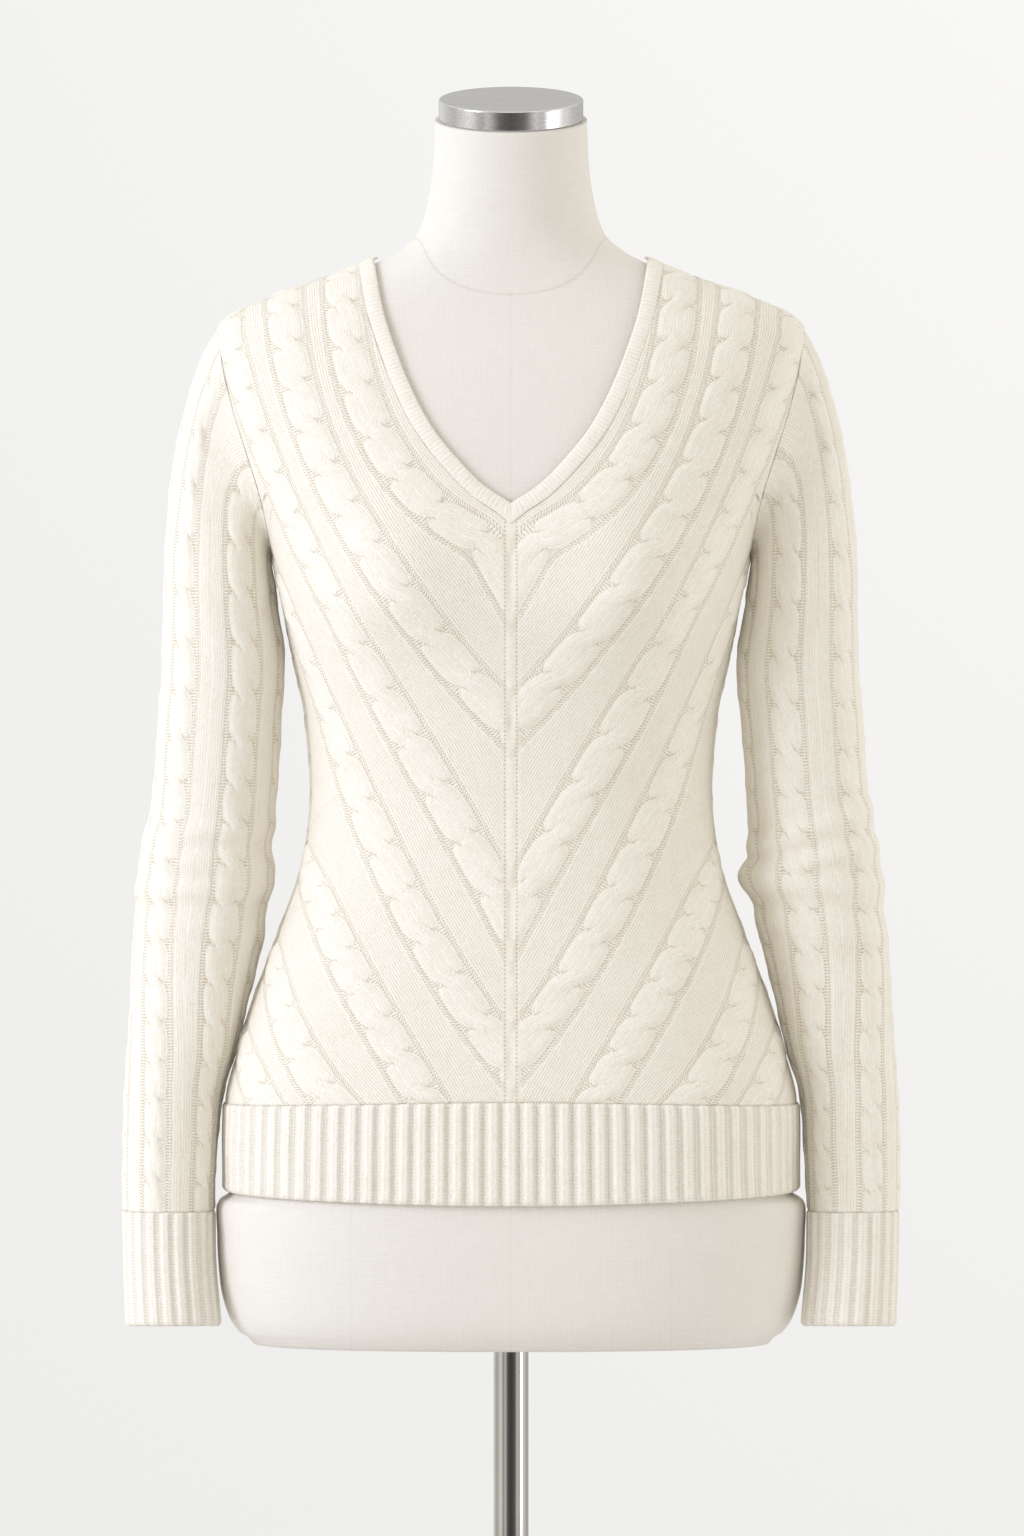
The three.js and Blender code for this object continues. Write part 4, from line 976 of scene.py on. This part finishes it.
def back_field(point, across, height, side):
    """Upright cables in mirrored pairs, with one over the back's middle."""
    nearest = np.round(across / BACK_PITCH)
    total = total_at(height)
    w = across - nearest * BACK_PITCH
    w = np.where(nearest == 0, w * side, w)
    s = NECK_TOP - height
    field = knit_field(w, s, s / BACK_CROSSING, CABLE_HALF)
    room = total - side_at(height) - nearest * BACK_PITCH - CABLE_HALF - GUTTER["wide"]
    here = smooth(-4, 4, room)
    field["rise"] = mix(GUTTER["band"], field["rise"], here)
    for name in ("purl", "window"):
        field[name] = field[name] * here
    for name, away in AWAY.items():
        field[name] = mix(away, field[name], here)
    field["band_wale"] = across
    return settle(field, point, total - side_at(height) - across, height - HEM["top"], 5)


def knit_panel(front, field, step):
    neck_arc, neck_height = neck_line(NECKBAND["width"])
    n, low = NECKBAND["stations"], float(run_at(HEM["top"]))
    if front:
        arcs, heights, word = neck_arc[: n + 1], neck_height[: n + 1], "front"
    else:
        arcs, heights = (total_at(neck_height[n:]) - neck_arc[n:])[::-1], neck_height[n:][::-1]
        word = "back"
    runs = np.maximum.accumulate(run_at(heights))

    def left(run):
        return np.interp(run, runs, arcs, left=0)

    def right(run):
        side = side_at(height_at(run))
        return (side if front else total_at(height_at(run)) - side) - hole_aside(run, ARMHOLE[word])

    def lift(across, run):
        return (hem_top(across, front) - HEM["top"]) * (1 - smooth(low, low + HEM["fade"], run))

    return panel(left, right, low, float(runs[0]), float(runs[-1]), lift, field, step, front)


# ---- Hem, cuffs and neckband ----
# Shares of a rib's repeat: where its side falls, and where its stitches turn to purl. Then its crown and hollow,
# as shares of the rise, and how clearly the purl shows.
RIB = {"side": (0.22, 0.34), "turn": (0.24, 0.31)}
RIB.update({"crown": 0.2, "crown_half": 0.25, "hollow": 0.05, "purl": 0.6})


def rib_profile(t, rise):
    """A raised rib over half of each repeat, with round shoulders."""
    crown = RIB["crown"] * (1 - np.clip(np.abs(t) / RIB["crown_half"], 0, 1) ** 2)
    return rise * ((1 - smooth(*RIB["side"], np.abs(t))) * (1 + crown) - RIB["hollow"])


def ribbed_tube(place, sizes, length, period, per_rib, rows, inner, ripple=0.0):
    """A ribbed band. Its relief is low at the seam on top, and the free edge below rolls in.

    period is a repeat's width for the stitches, per_rib the columns of one, and inner the inner side's points.
    """
    share = np.arange(sizes["ribs"] * per_rib) / (sizes["ribs"] * per_rib)
    at, t = np.meshgrid(share, np.linspace(0, 1, rows + 1))
    from_edge, from_seam = t * length, (1 - t) * length
    rib = ((at * sizes["ribs"] + 0.5) % 1) - 0.5  # 0 in the middle of each rib
    ends = np.minimum(from_edge / RIB_ENDS["edge"], 1) * np.minimum(from_seam / RIB_ENDS["seam"], 1)
    rise = rib_profile(rib, sizes["rise"]) * mix(RIB_ENDS["least"], 1, ends)
    rise += ripple * waves(np.stack([at * 900, from_edge, 0 * at], -1), 30, 90, 8, 11)
    rise += RIB_ENDS["ridge"] * bell(from_seam, RIB_ENDS["ridge_width"])
    rise -= RIB_ENDS["roll"] * (1 - np.minimum(from_edge / RIB_ENDS["roll_width"], 1)) ** 2
    inner_at, inner_t = np.meshgrid(np.arange(inner[0]) / inner[0], np.linspace(0, 1, inner[1]))
    inside = place(inner_at, inner_t, np.full(inner_at.shape, RIB_INNER_OUT))
    knit = np.stack([rib * period, from_edge, smooth(*RIB["turn"], np.abs(rib)) * RIB["purl"]], -1)
    return tube(place(at, t, WALL + rise), inside, {"knit": knit})


def hem_band():
    level = (HEM["bottom"] + HEM["top"]) / 2
    length = HEM["top"] - HEM["bottom"]

    def place(share, t, out):
        arc = total_at(level) * np.minimum(share, 1 - share) * 2
        front = arc < side_at(level)
        height = mix(hem_bottom(arc, front), hem_top(arc, front), t)
        point = offset(arc / total_at(level) * total_at(height), height, out)
        point[..., 0] = np.where(share <= 0.5, point[..., 0], -point[..., 0])
        return point

    piece = ribbed_tube(place, HEM, length, HEM["period"], per_rib=12, rows=34, inner=(176, 5), ripple=0.25)
    return piece, (2 * float(total_at(level)), length + HEM["lift"] / 2)


def neckband():
    """A ribbed band round the neck, mitred at the V."""
    shares = np.linspace(0, 1, NECKBAND["lines"])
    lines = [neck_line(share * NECKBAND["width"]) for share in shares]
    arcs, heights = (np.array([line[k] for line in lines]) for k in range(2))
    # Closer stations along the band, so that each of its small ribs is modelled.
    half = NECKBAND["lines"] // 2
    along = distances(surface(arcs[half], heights[half]))
    pitch = NECK_RIB["pitch"]
    count = int(along[-1] / pitch) * NECK_RIB["columns"]
    fine = np.linspace(0, along[-1], count + 1)
    arcs = np.array([np.interp(fine, along, row) for row in arcs])
    heights = np.array([np.interp(fine, along, row) for row in heights])
    ribs = 0.5 + 0.5 * np.cos(2 * math.pi * fine / pitch)
    crown = np.sqrt(np.clip(1 - ((shares - 0.5) / 0.56) ** 2, 0, 1))[:, None]
    roll, groove = (high * bell(shares - at, half)[:, None] for at, half, high in (NECK_ROLL, NECK_GROOVE))
    middle = np.sin(math.pi * np.clip((shares - 0.1) / 0.8, 0, 1))[:, None]
    body = np.where(shares[:, None] < 0.5, crown, 1)
    fine_relief = NECK_RIB["rise"] * (ribs - 0.5) - NECK_RIB["mitre"] * bell(fine, NECK_RIB["mitre_half"])
    out = WALL * body + NECKBAND["crown"] * crown**2 + roll + groove + fine_relief[None] * middle
    piece = Piece()
    first = None
    for side in (1, -1):
        outer = offset(arcs, heights, out)
        inner = offset(arcs[::half], heights[::half], np.full(arcs[::half].shape, INNER_OUT))
        for grid in (outer, inner):
            grid[..., 0] *= side
            grid[:, [0, -1], 0] = 0
        knit = np.stack(np.broadcast_arrays(fine, shares[:, None] * NECKBAND["width"], 0.0), -1)
        out_ids, in_ids = piece.add(outer, {"knit": knit}), piece.add(inner)
        if first is None:
            first = [out_ids[:, [0, -1]].copy(), in_ids[:, [0, -1]].copy()]
        else:
            out_ids[:, [0, -1]], in_ids[:, [0, -1]] = first
        piece.wall(out_ids, in_ids)
    return piece, (2 * float(along[-1]), float(NECKBAND["width"]))


# ---- Sleeves ----
arm = {name: curve_of(ARM, "height", name) for name in ("x", "y", "half", "depth")}
crossings = curve_of(CROSSINGS, "down", "count")


def fold_out(folds, turn, height):
    total = 0 * turn
    for fold in folds:
        middle = fold["height"] - fold["drop"] * np.cos(turn)
        near = 0.5 + 0.5 * np.cos(turn - math.radians(fold["turn"]))
        total = total + fold["out"] * mix(FOLD_LEAST, 1, near) * bell(height - middle, fold["width"])
    return total


def arm_point(turn, height, folds):
    more = fold_out(folds, turn, height) - WALL
    x = arm["x"](height) + (arm["half"](height) + more) * np.cos(turn)
    y = arm["y"](height) - (arm["depth"](height) + more) * np.sin(turn)
    return np.stack([x, y, FORM_BASE + height], -1)


def sleeve_point(turn, station, folds):
    turn, station = np.broadcast_arrays(np.asarray(turn, float), np.asarray(station, float))
    hang = arm_point(turn, SLEEVE["join"] - (station - 1) * STATION, folds)
    start = surface(*armhole_place(turn, LEAVE["gap"]))
    end = arm_point(turn, np.full(turn.shape, float(SLEEVE["join"])), folds)
    reach = np.linalg.norm(end - start, axis=-1)[..., None]
    above = 0.5 + 0.5 * np.cos(turn)
    leave = unit(surface(*armhole_place(turn, LEAVE["gap"] + LEAVE["span"])) - start) * LEAVE["into"]
    leave += np.stack([0 * turn + LEAVE["out"], 0 * turn, -LEAVE["down"] * above], -1)
    leave = unit(leave) * (reach * LEAVE["pull"] + LEAVE["least"])
    arrive = np.array([-ARRIVE_LEAN, 0, -1]) * reach * LEAVE["pull"]
    a, b, c = hermite(np.clip(station, 0, 1)[..., None])
    head = start * a + end * (1 - a) + leave * b + arrive * c
    return np.where((station >= 1)[..., None], hang, head)


def sleeve_frame(turn, station, folds):
    small = 0.01
    turn, station = np.broadcast_arrays(np.asarray(turn, float), np.asarray(station, float))
    around = sleeve_point(turn + small, station, folds) - sleeve_point(turn - small, station, folds)
    before = sleeve_point(turn, np.maximum(station - small, 0), folds)
    normal = unit(np.cross(around, sleeve_point(turn, station + small, folds) - before))
    body = surface_frame(*armhole_place(turn, LEAVE["gap"]))[3]
    share = np.clip(station / LEAVE["blend"], 0, 1)[..., None]
    return sleeve_point(turn, station, folds), unit(normal * share + body * (1 - share))


def cable_turns(height, first_turn):
    """The turns of a sleeve's cables, which drift round its lower part: the front two spread apart."""
    drift = mix(DRIFT[:, 0], DRIFT[:, 1], 1 - smooth(*DRIFT_BETWEEN, height)[..., None])
    return np.radians(np.arange(SLEEVE["cables"]) * 360 / SLEEVE["cables"] + drift + first_turn)


def sleeve(side, first_turn, first_crossing, folds, seed):
    head_rows, columns = SLEEVE_GRID["head"], SLEEVE_GRID["columns"]
    last = 1 + (SLEEVE["join"] - SLEEVE["cuff_top"]) / STATION
    hang_rows = int((last - 1) * STATION / SLEEVE_GRID["step"])
    stations = np.concatenate([np.arange(head_rows) / head_rows, np.linspace(1, last, hang_rows + 1)])
    heights = SLEEVE["join"] - np.maximum(stations - 1, 0) * STATION
    base = np.arange(columns) / columns * SLEEVE["cables"]
    cables = cable_turns(heights, first_turn)
    around_again = np.concatenate([cables, cables[:, :1] + 2 * math.pi], 1)
    turn = np.array([np.interp(base, np.arange(SLEEVE["cables"] + 1), row) for row in around_again])
    station = np.broadcast_to(stations[:, None], turn.shape)
    point, normal = sleeve_frame(turn, station, folds)
    along = distances(point)
    from_join = along - along[head_rows][None]
    around = np.linalg.norm(np.roll(point, -1, 1) - point, axis=-1).sum(1) / (2 * math.pi)
    away = turn[..., None] - around_again[:, None, :]
    nearest = np.abs(away).argmin(-1)
    w = np.take_along_axis(away, nearest[..., None], -1)[..., 0] * around[:, None]
    half = np.minimum(SLEEVE_CABLE_HALF, around * CABLE_SHARE)[:, None]
    phase = crossings(from_join) - crossings(first_crossing)
    field = knit_field(-side * w, from_join, phase, half)
    grown = smooth(0, SLEEVE["grow"], along) * fade(*HEM_FADE, heights - SLEEVE["cuff_top"])[:, None]
    field["rise"] = field["rise"] * mix(0.1, 1.15, grown) + 0.4 * grown * waves(point, 40, 110, 10, seed)
    outer = point + normal * (WALL + field["rise"])[..., None]
    head, hang, count = (SLEEVE_GRID[name] for name in ("inner_head", "inner_hang", "inner_columns"))
    inner_turn, inner_station = np.meshgrid(
        np.arange(count) / count * 2 * math.pi + math.radians(first_turn),
        np.concatenate([np.linspace(0, 1, head)[:-1], np.linspace(1, last, hang)]),
    )
    inner, inner_normal = sleeve_frame(inner_turn, inner_station, folds)
    inner = inner + inner_normal * INNER_OUT
    for grid in (outer, inner):
        grid[..., 0] *= side
    widths = around * 2 * math.pi
    lengths = np.diff(along, axis=0).mean(1)
    area = float(np.sum((widths[1:] + widths[:-1]) / 2 * lengths))
    return tube(outer, inner, attributes(field)), (float(widths.max()), float(along[-1].max())), area


def cuff(side, first_turn):
    length = SLEEVE["cuff_top"] - CUFF["bottom"]

    def place(share, t, out):
        height = mix(CUFF["bottom"], SLEEVE["cuff_top"], t)
        turn = share * 2 * math.pi + math.radians(first_turn)
        point, normal = sleeve_frame(turn, 1 + (SLEEVE["join"] - height) / STATION, [])
        point = point + normal * out[..., None]
        point[..., 2] += CUFF["tilt"] * (arm["depth"](height) - WALL) * np.sin(turn) * (1 - t)
        point[..., 0] *= side
        return point

    middle = (SLEEVE["cuff_top"] + CUFF["bottom"]) / 2
    width = math.pi * (arm["half"](middle) + arm["depth"](middle))
    piece = ribbed_tube(place, CUFF, length, CUFF["period"], per_rib=16, rows=44, inner=(40, 6))
    return piece, (float(width), float(length))


# ---- The dress form and its stand ----
NECK_TILT_FROM = 700
FORM_COLUMNS = 208
NECK_SEAM = {"side": 697, "drop": 37, "power": 1.5}
FRONT_SEAM_TOP = 664
PRINCESS = {"x": 100, "top": 300}
NO_SEAM = 6  # what a distance says where no seam is near
# How the cover comes out at the sides below the hem: how far, and where it starts, is full and ends.
SWELL = {"out": 4.2, "start": 0.5, "full": 5, "end": 28, "side": 0.75}
SHOULDER = {"height": 632, "reach": 16, "ease": 0.8}  # more room where the cover rounds over most sharply


def dress_form():
    top = TORSO[-1]["height"]
    low = np.concatenate([[1, 2.5, 5, 8, 12], np.arange(16, 84, 4.0), np.arange(84, 100, 1.0)])
    heights = np.concatenate([low, np.arange(100, 640, 4.0), np.arange(640, top - 1, 2.2), [top - 1]])
    share = np.arange(FORM_COLUMNS) / FORM_COLUMNS
    at, height = np.meshgrid(share, heights)
    total = total_at(height)
    side = np.where(at <= 0.5, 1, -1)
    arc = total * 2 * np.where(at <= 0.5, at, 1 - at)
    point, _, _, normal = surface_frame(arc, height)
    # Seams: round the foot of the neck, down the centre of the front, and two down the lower front.
    neck = NECK_SEAM["side"] - NECK_SEAM["drop"] * wave(arc, height) ** NECK_SEAM["power"]
    front_middle = np.where(height < FRONT_SEAM_TOP, arc, NO_SEAM)
    low_front = (arc < side_at(height)) & (height < PRINCESS["top"])
    princess = np.where(low_front, np.abs(point[..., 0]) - PRINCESS["x"], NO_SEAM)
    seams = np.stack([height - neck, front_middle, princess], -1)
    ease = EASE + SHOULDER["ease"] * bell(height - SHOULDER["height"], SHOULDER["reach"])
    ease += 0.2 * bell(height - neck, 2)
    point = point - normal * ease[..., None]
    # The cover swells out again just under the hem, at the sides.
    below = hem_bottom(arc, arc < side_at(height)) - height
    swell = smooth(SWELL["start"], SWELL["full"], below) * (1 - smooth(SWELL["full"], SWELL["end"], below))
    point[..., 0] += SWELL["out"] * swell * smooth(SWELL["side"], 1, point[..., 0] / torso["half"](height))
    leaning = np.clip((height - NECK_TILT_FROM) / (top - NECK_TILT_FROM), 0, 1)
    centre = (torso["back"](height) - torso["front"](height)) / 2
    point[0, :, 2], point[-1, :, 2] = FORM_BASE, FORM_BASE + top
    point[..., 2] += (point[..., 1] - centre) * math.tan(math.radians(CAP["tilt"])) * leaning**2
    point[..., 0] *= side
    values = {"knit": np.stack([arc, height, 0 * arc], -1), "fold": np.clip(seams, -NO_SEAM, NO_SEAM)}
    piece = Piece()
    ids = piece.add(point, values)
    piece.grid(closed(ids))
    for row in (0, -1):
        centre_id = piece.add(point[row].mean(0)[None])[0]
        piece.fan(ids[row], centre_id)
    return piece


def rings(piece, profile, sides):
    turn = np.arange(sides) / sides * 2 * math.pi
    return [piece.add(np.stack([r * np.cos(turn), r * np.sin(turn), 0 * turn + h], -1)) for r, h in profile]


def turned(profile, sides):
    """A lathe solid round Z from [radius, height] points that start and end on the axis."""
    piece = Piece()
    rows = rings(piece, profile[1:-1], sides)
    piece.grid(closed(np.array(rows)))
    for row, (_, height) in ((rows[0], profile[0]), (rows[-1], profile[-1])):
        piece.fan(row, piece.add(np.array([[0.0, 0.0, height]]))[0])
    return piece


def rim(radius, high, edge, count):
    """The rounded corner between a side and a top."""
    turns = np.radians(np.linspace(0, 90, count))
    return [(radius - edge + edge * math.cos(a), high - edge + edge * math.sin(a)) for a in turns]


def rounded(radius, low, high, edge, bottom_edge=0.4):
    """A disc's profile with a rounded rim."""
    near = [(radius - bottom_edge, low), (radius, low + bottom_edge), (radius, low + 2 * bottom_edge)]
    near += [(radius, high - 1.4 * edge), *rim(radius, high, edge, 7)]
    return [(0, low), (radius * 0.96, low), *near, (radius * 0.96 - edge, high), (0, high)]


def disc(size, sides):
    return turned(rounded(size["radius"], 0, size["thick"], size["edge"]), sides)


def neck_cap():
    piece = disc(CAP, 128)
    top = TORSO[-1]["height"]
    middle = (torso["back"](top) - torso["front"](top)) / 2
    tilt = math.radians(CAP["tilt"])
    turn = np.array([[1, 0, 0], [0, math.cos(tilt), -math.sin(tilt)], [0, math.sin(tilt), math.cos(tilt)]])
    place = np.array([0, middle, FORM_BASE + top + SEAM])
    piece.points = [points @ turn.T + place for points in piece.points]
    return piece


def collar():
    bore, low = POLE["radius"] + SEAM, BASE["thick"] + SEAM
    high, radius = low + BASE["collar_height"], BASE["collar"]
    piece = Piece()
    rows = rings(piece, [(bore, low), (radius, low), *rim(radius, high, 2.0, 6), (bore, high)], 96)
    piece.grid(closed(np.array([*rows, rows[0]])))
    return piece


# ---- The object ----
pole_profile = rounded(POLE["radius"], BASE["thick"] + SEAM, FORM_BASE - SEAM, 0.3)
make("dress_form_cloth", dress_form(), linen, "dress_form")
make("neck_cap_steel", neck_cap(), brushed, "neck_cap")
make("base_plate_steel", disc(BASE, 192), plate_steel, "base_plate")
make("base_collar_steel", collar(), polished, "base_collar")
make("pole_steel", turned(pole_profile, 96), polished, "pole")


def dress(name, made, material, node):
    """A piece of the sweater. Its flat size and cut area are worked out here but not used."""
    piece, flat, *area = made
    obj = make(name, piece, material, node)
    flat = tuple(value * MM for value in flat)
    area[0] * MM * MM if area else None


dress("front_knit", knit_panel(True, front_field, FRONT_STEP), wool, "front_panel")
dress("back_knit", knit_panel(False, back_field, BACK_STEP), wool, "back_panel")
dress("hem_rib", hem_band(), rib_wool, "hem_band")
dress("neck_rib", neckband(), rib_wool, "neckband")
for word, shape in ARMS.items():
    side, turn = shape["side"], shape["turn"]
    made = sleeve(side, turn, shape["first"], FOLDS[word], 20 + turn)
    dress(f"sleeve_{word}_knit", made, sleeve_wool, f"sleeve_{word}")
    dress(f"cuff_{word}_rib", cuff(side, turn), rib_wool, f"cuff_{word}")

# ---- Stage, light and camera ----
STUDIO = table(
    "turn level",
    [
        (-180, 0.5), (-150, 0.9), (-105, 0.55), (-70, 1.0), (-52, 0.35), (-40, 0.75), (-22, 0.12),
        (0, 0.06), (26, 0.14), (42, 0.8), (58, 0.4), (85, 1.0), (120, 0.6), (180, 0.5),
    ],
)
scene = bpy.context.scene
scene.view_settings.view_transform = "Standard"

floor = Piece()
n = Nodes(bpy.data.materials.new("floor_paint"))
floor_tone = n.ramp(n.noise(n.place(), 6), [(0, (0.74, 0.735, 0.72)), (1, (0.78, 0.775, 0.76))])
floor_paint = n.finish(Base_Color=floor_tone, Roughness=0.8)
FLOOR = {"radius": 2500, "height": -1}
edge = rings(floor, [(FLOOR["radius"], FLOOR["height"])], 96)[0]
floor.fan(edge, floor.add(np.array([[0.0, 0.0, FLOOR["height"]]]))[0])
mesh_object("floor", floor, floor_paint)

scene.world = bpy.data.worlds.new("studio")
n = Nodes(scene.world)
x, y, z = n.parts(n.value("TexCoord", (), "Generated"))
# What the steel mirrors: a dark room in front between light walls, and lit again behind.
angle = n.math("ARCTAN2", x, y * -1) * (0.5 / math.pi) + 0.5
tint = np.array((1, 0.985, 0.965))
walls = n.ramp(angle, [(0.5 + row["turn"] / 360, row["level"] * tint) for row in STUDIO])
mirrored = n.mixed(n.ranged(z, 0.33, 0.72), walls, (0.9, 0.89, 0.875, 1))
# What lights the cloth: walls brighter at the sides and above than in front.
spread = n.mixed(n.ranged(y, -0.95, -0.35), (0.63, 0.612, 0.58, 1), (0.945, 0.933, 0.905, 1))
# The backdrop: a shade lighter above and on the right.
across = n.ranged(x, -0.04, 0.04)
lower = n.mixed(across, (0.853, 0.846, 0.832, 1), (0.875, 0.868, 0.858, 1))
upper = n.mixed(across, (0.893, 0.893, 0.878, 1), (0.947, 0.938, 0.922, 1))
backdrop = n.mixed(n.ranged(z, -0.08, 0.04), lower, upper)
lit = n.mixed(n.value("LightPath", (), "Is Glossy Ray"), spread, mirrored)
seen = n.mixed(n.value("LightPath", (), "Is Camera Ray"), lit, backdrop)
n.finish("BACKGROUND", Color=seen, Strength=1.0)


def area_light(name, place, target, size, power, colour):
    data = bpy.data.lights.new(name, "AREA")
    data.shape, data.size, data.size_y, data.energy, data.color = "RECTANGLE", size[0], size[1], power, colour
    light = bpy.data.objects.new(name, data)
    scene.collection.objects.link(light)
    light.location = place
    light.rotation_euler = (Vector(target) - Vector(place)).to_track_quat("-Z", "Y").to_euler()


area_light("key", (-3.8, -2.1, 2.4), (0, 0, 1.0), (1.6, 2.4), 92, (0.97, 1.03, 1.22))
area_light("fill", (3.6, -1.2, 1.2), (0, 0, 0.9), (1.4, 2.4), 16, (1.0, 0.99, 0.98))

CAMERA = {"aside": 0.0006, "distance": 8.0, "down": 1.2, "aim": 1.062, "lens": 297.5, "sensor": 36}
camera_data = bpy.data.cameras.new("camera")
camera_data.lens, camera_data.sensor_width = CAMERA["lens"], CAMERA["sensor"]
camera_data.clip_end = 100
camera = bpy.data.objects.new("camera", camera_data)
scene.collection.objects.link(camera)
down = math.radians(CAMERA["down"])
away, above = CAMERA["distance"] * math.cos(down), CAMERA["distance"] * math.sin(down)
camera.location = (CAMERA["aside"], -away, CAMERA["aim"] + above)
camera.rotation_euler = (math.radians(90) - down, 0, 0)
scene.camera = camera
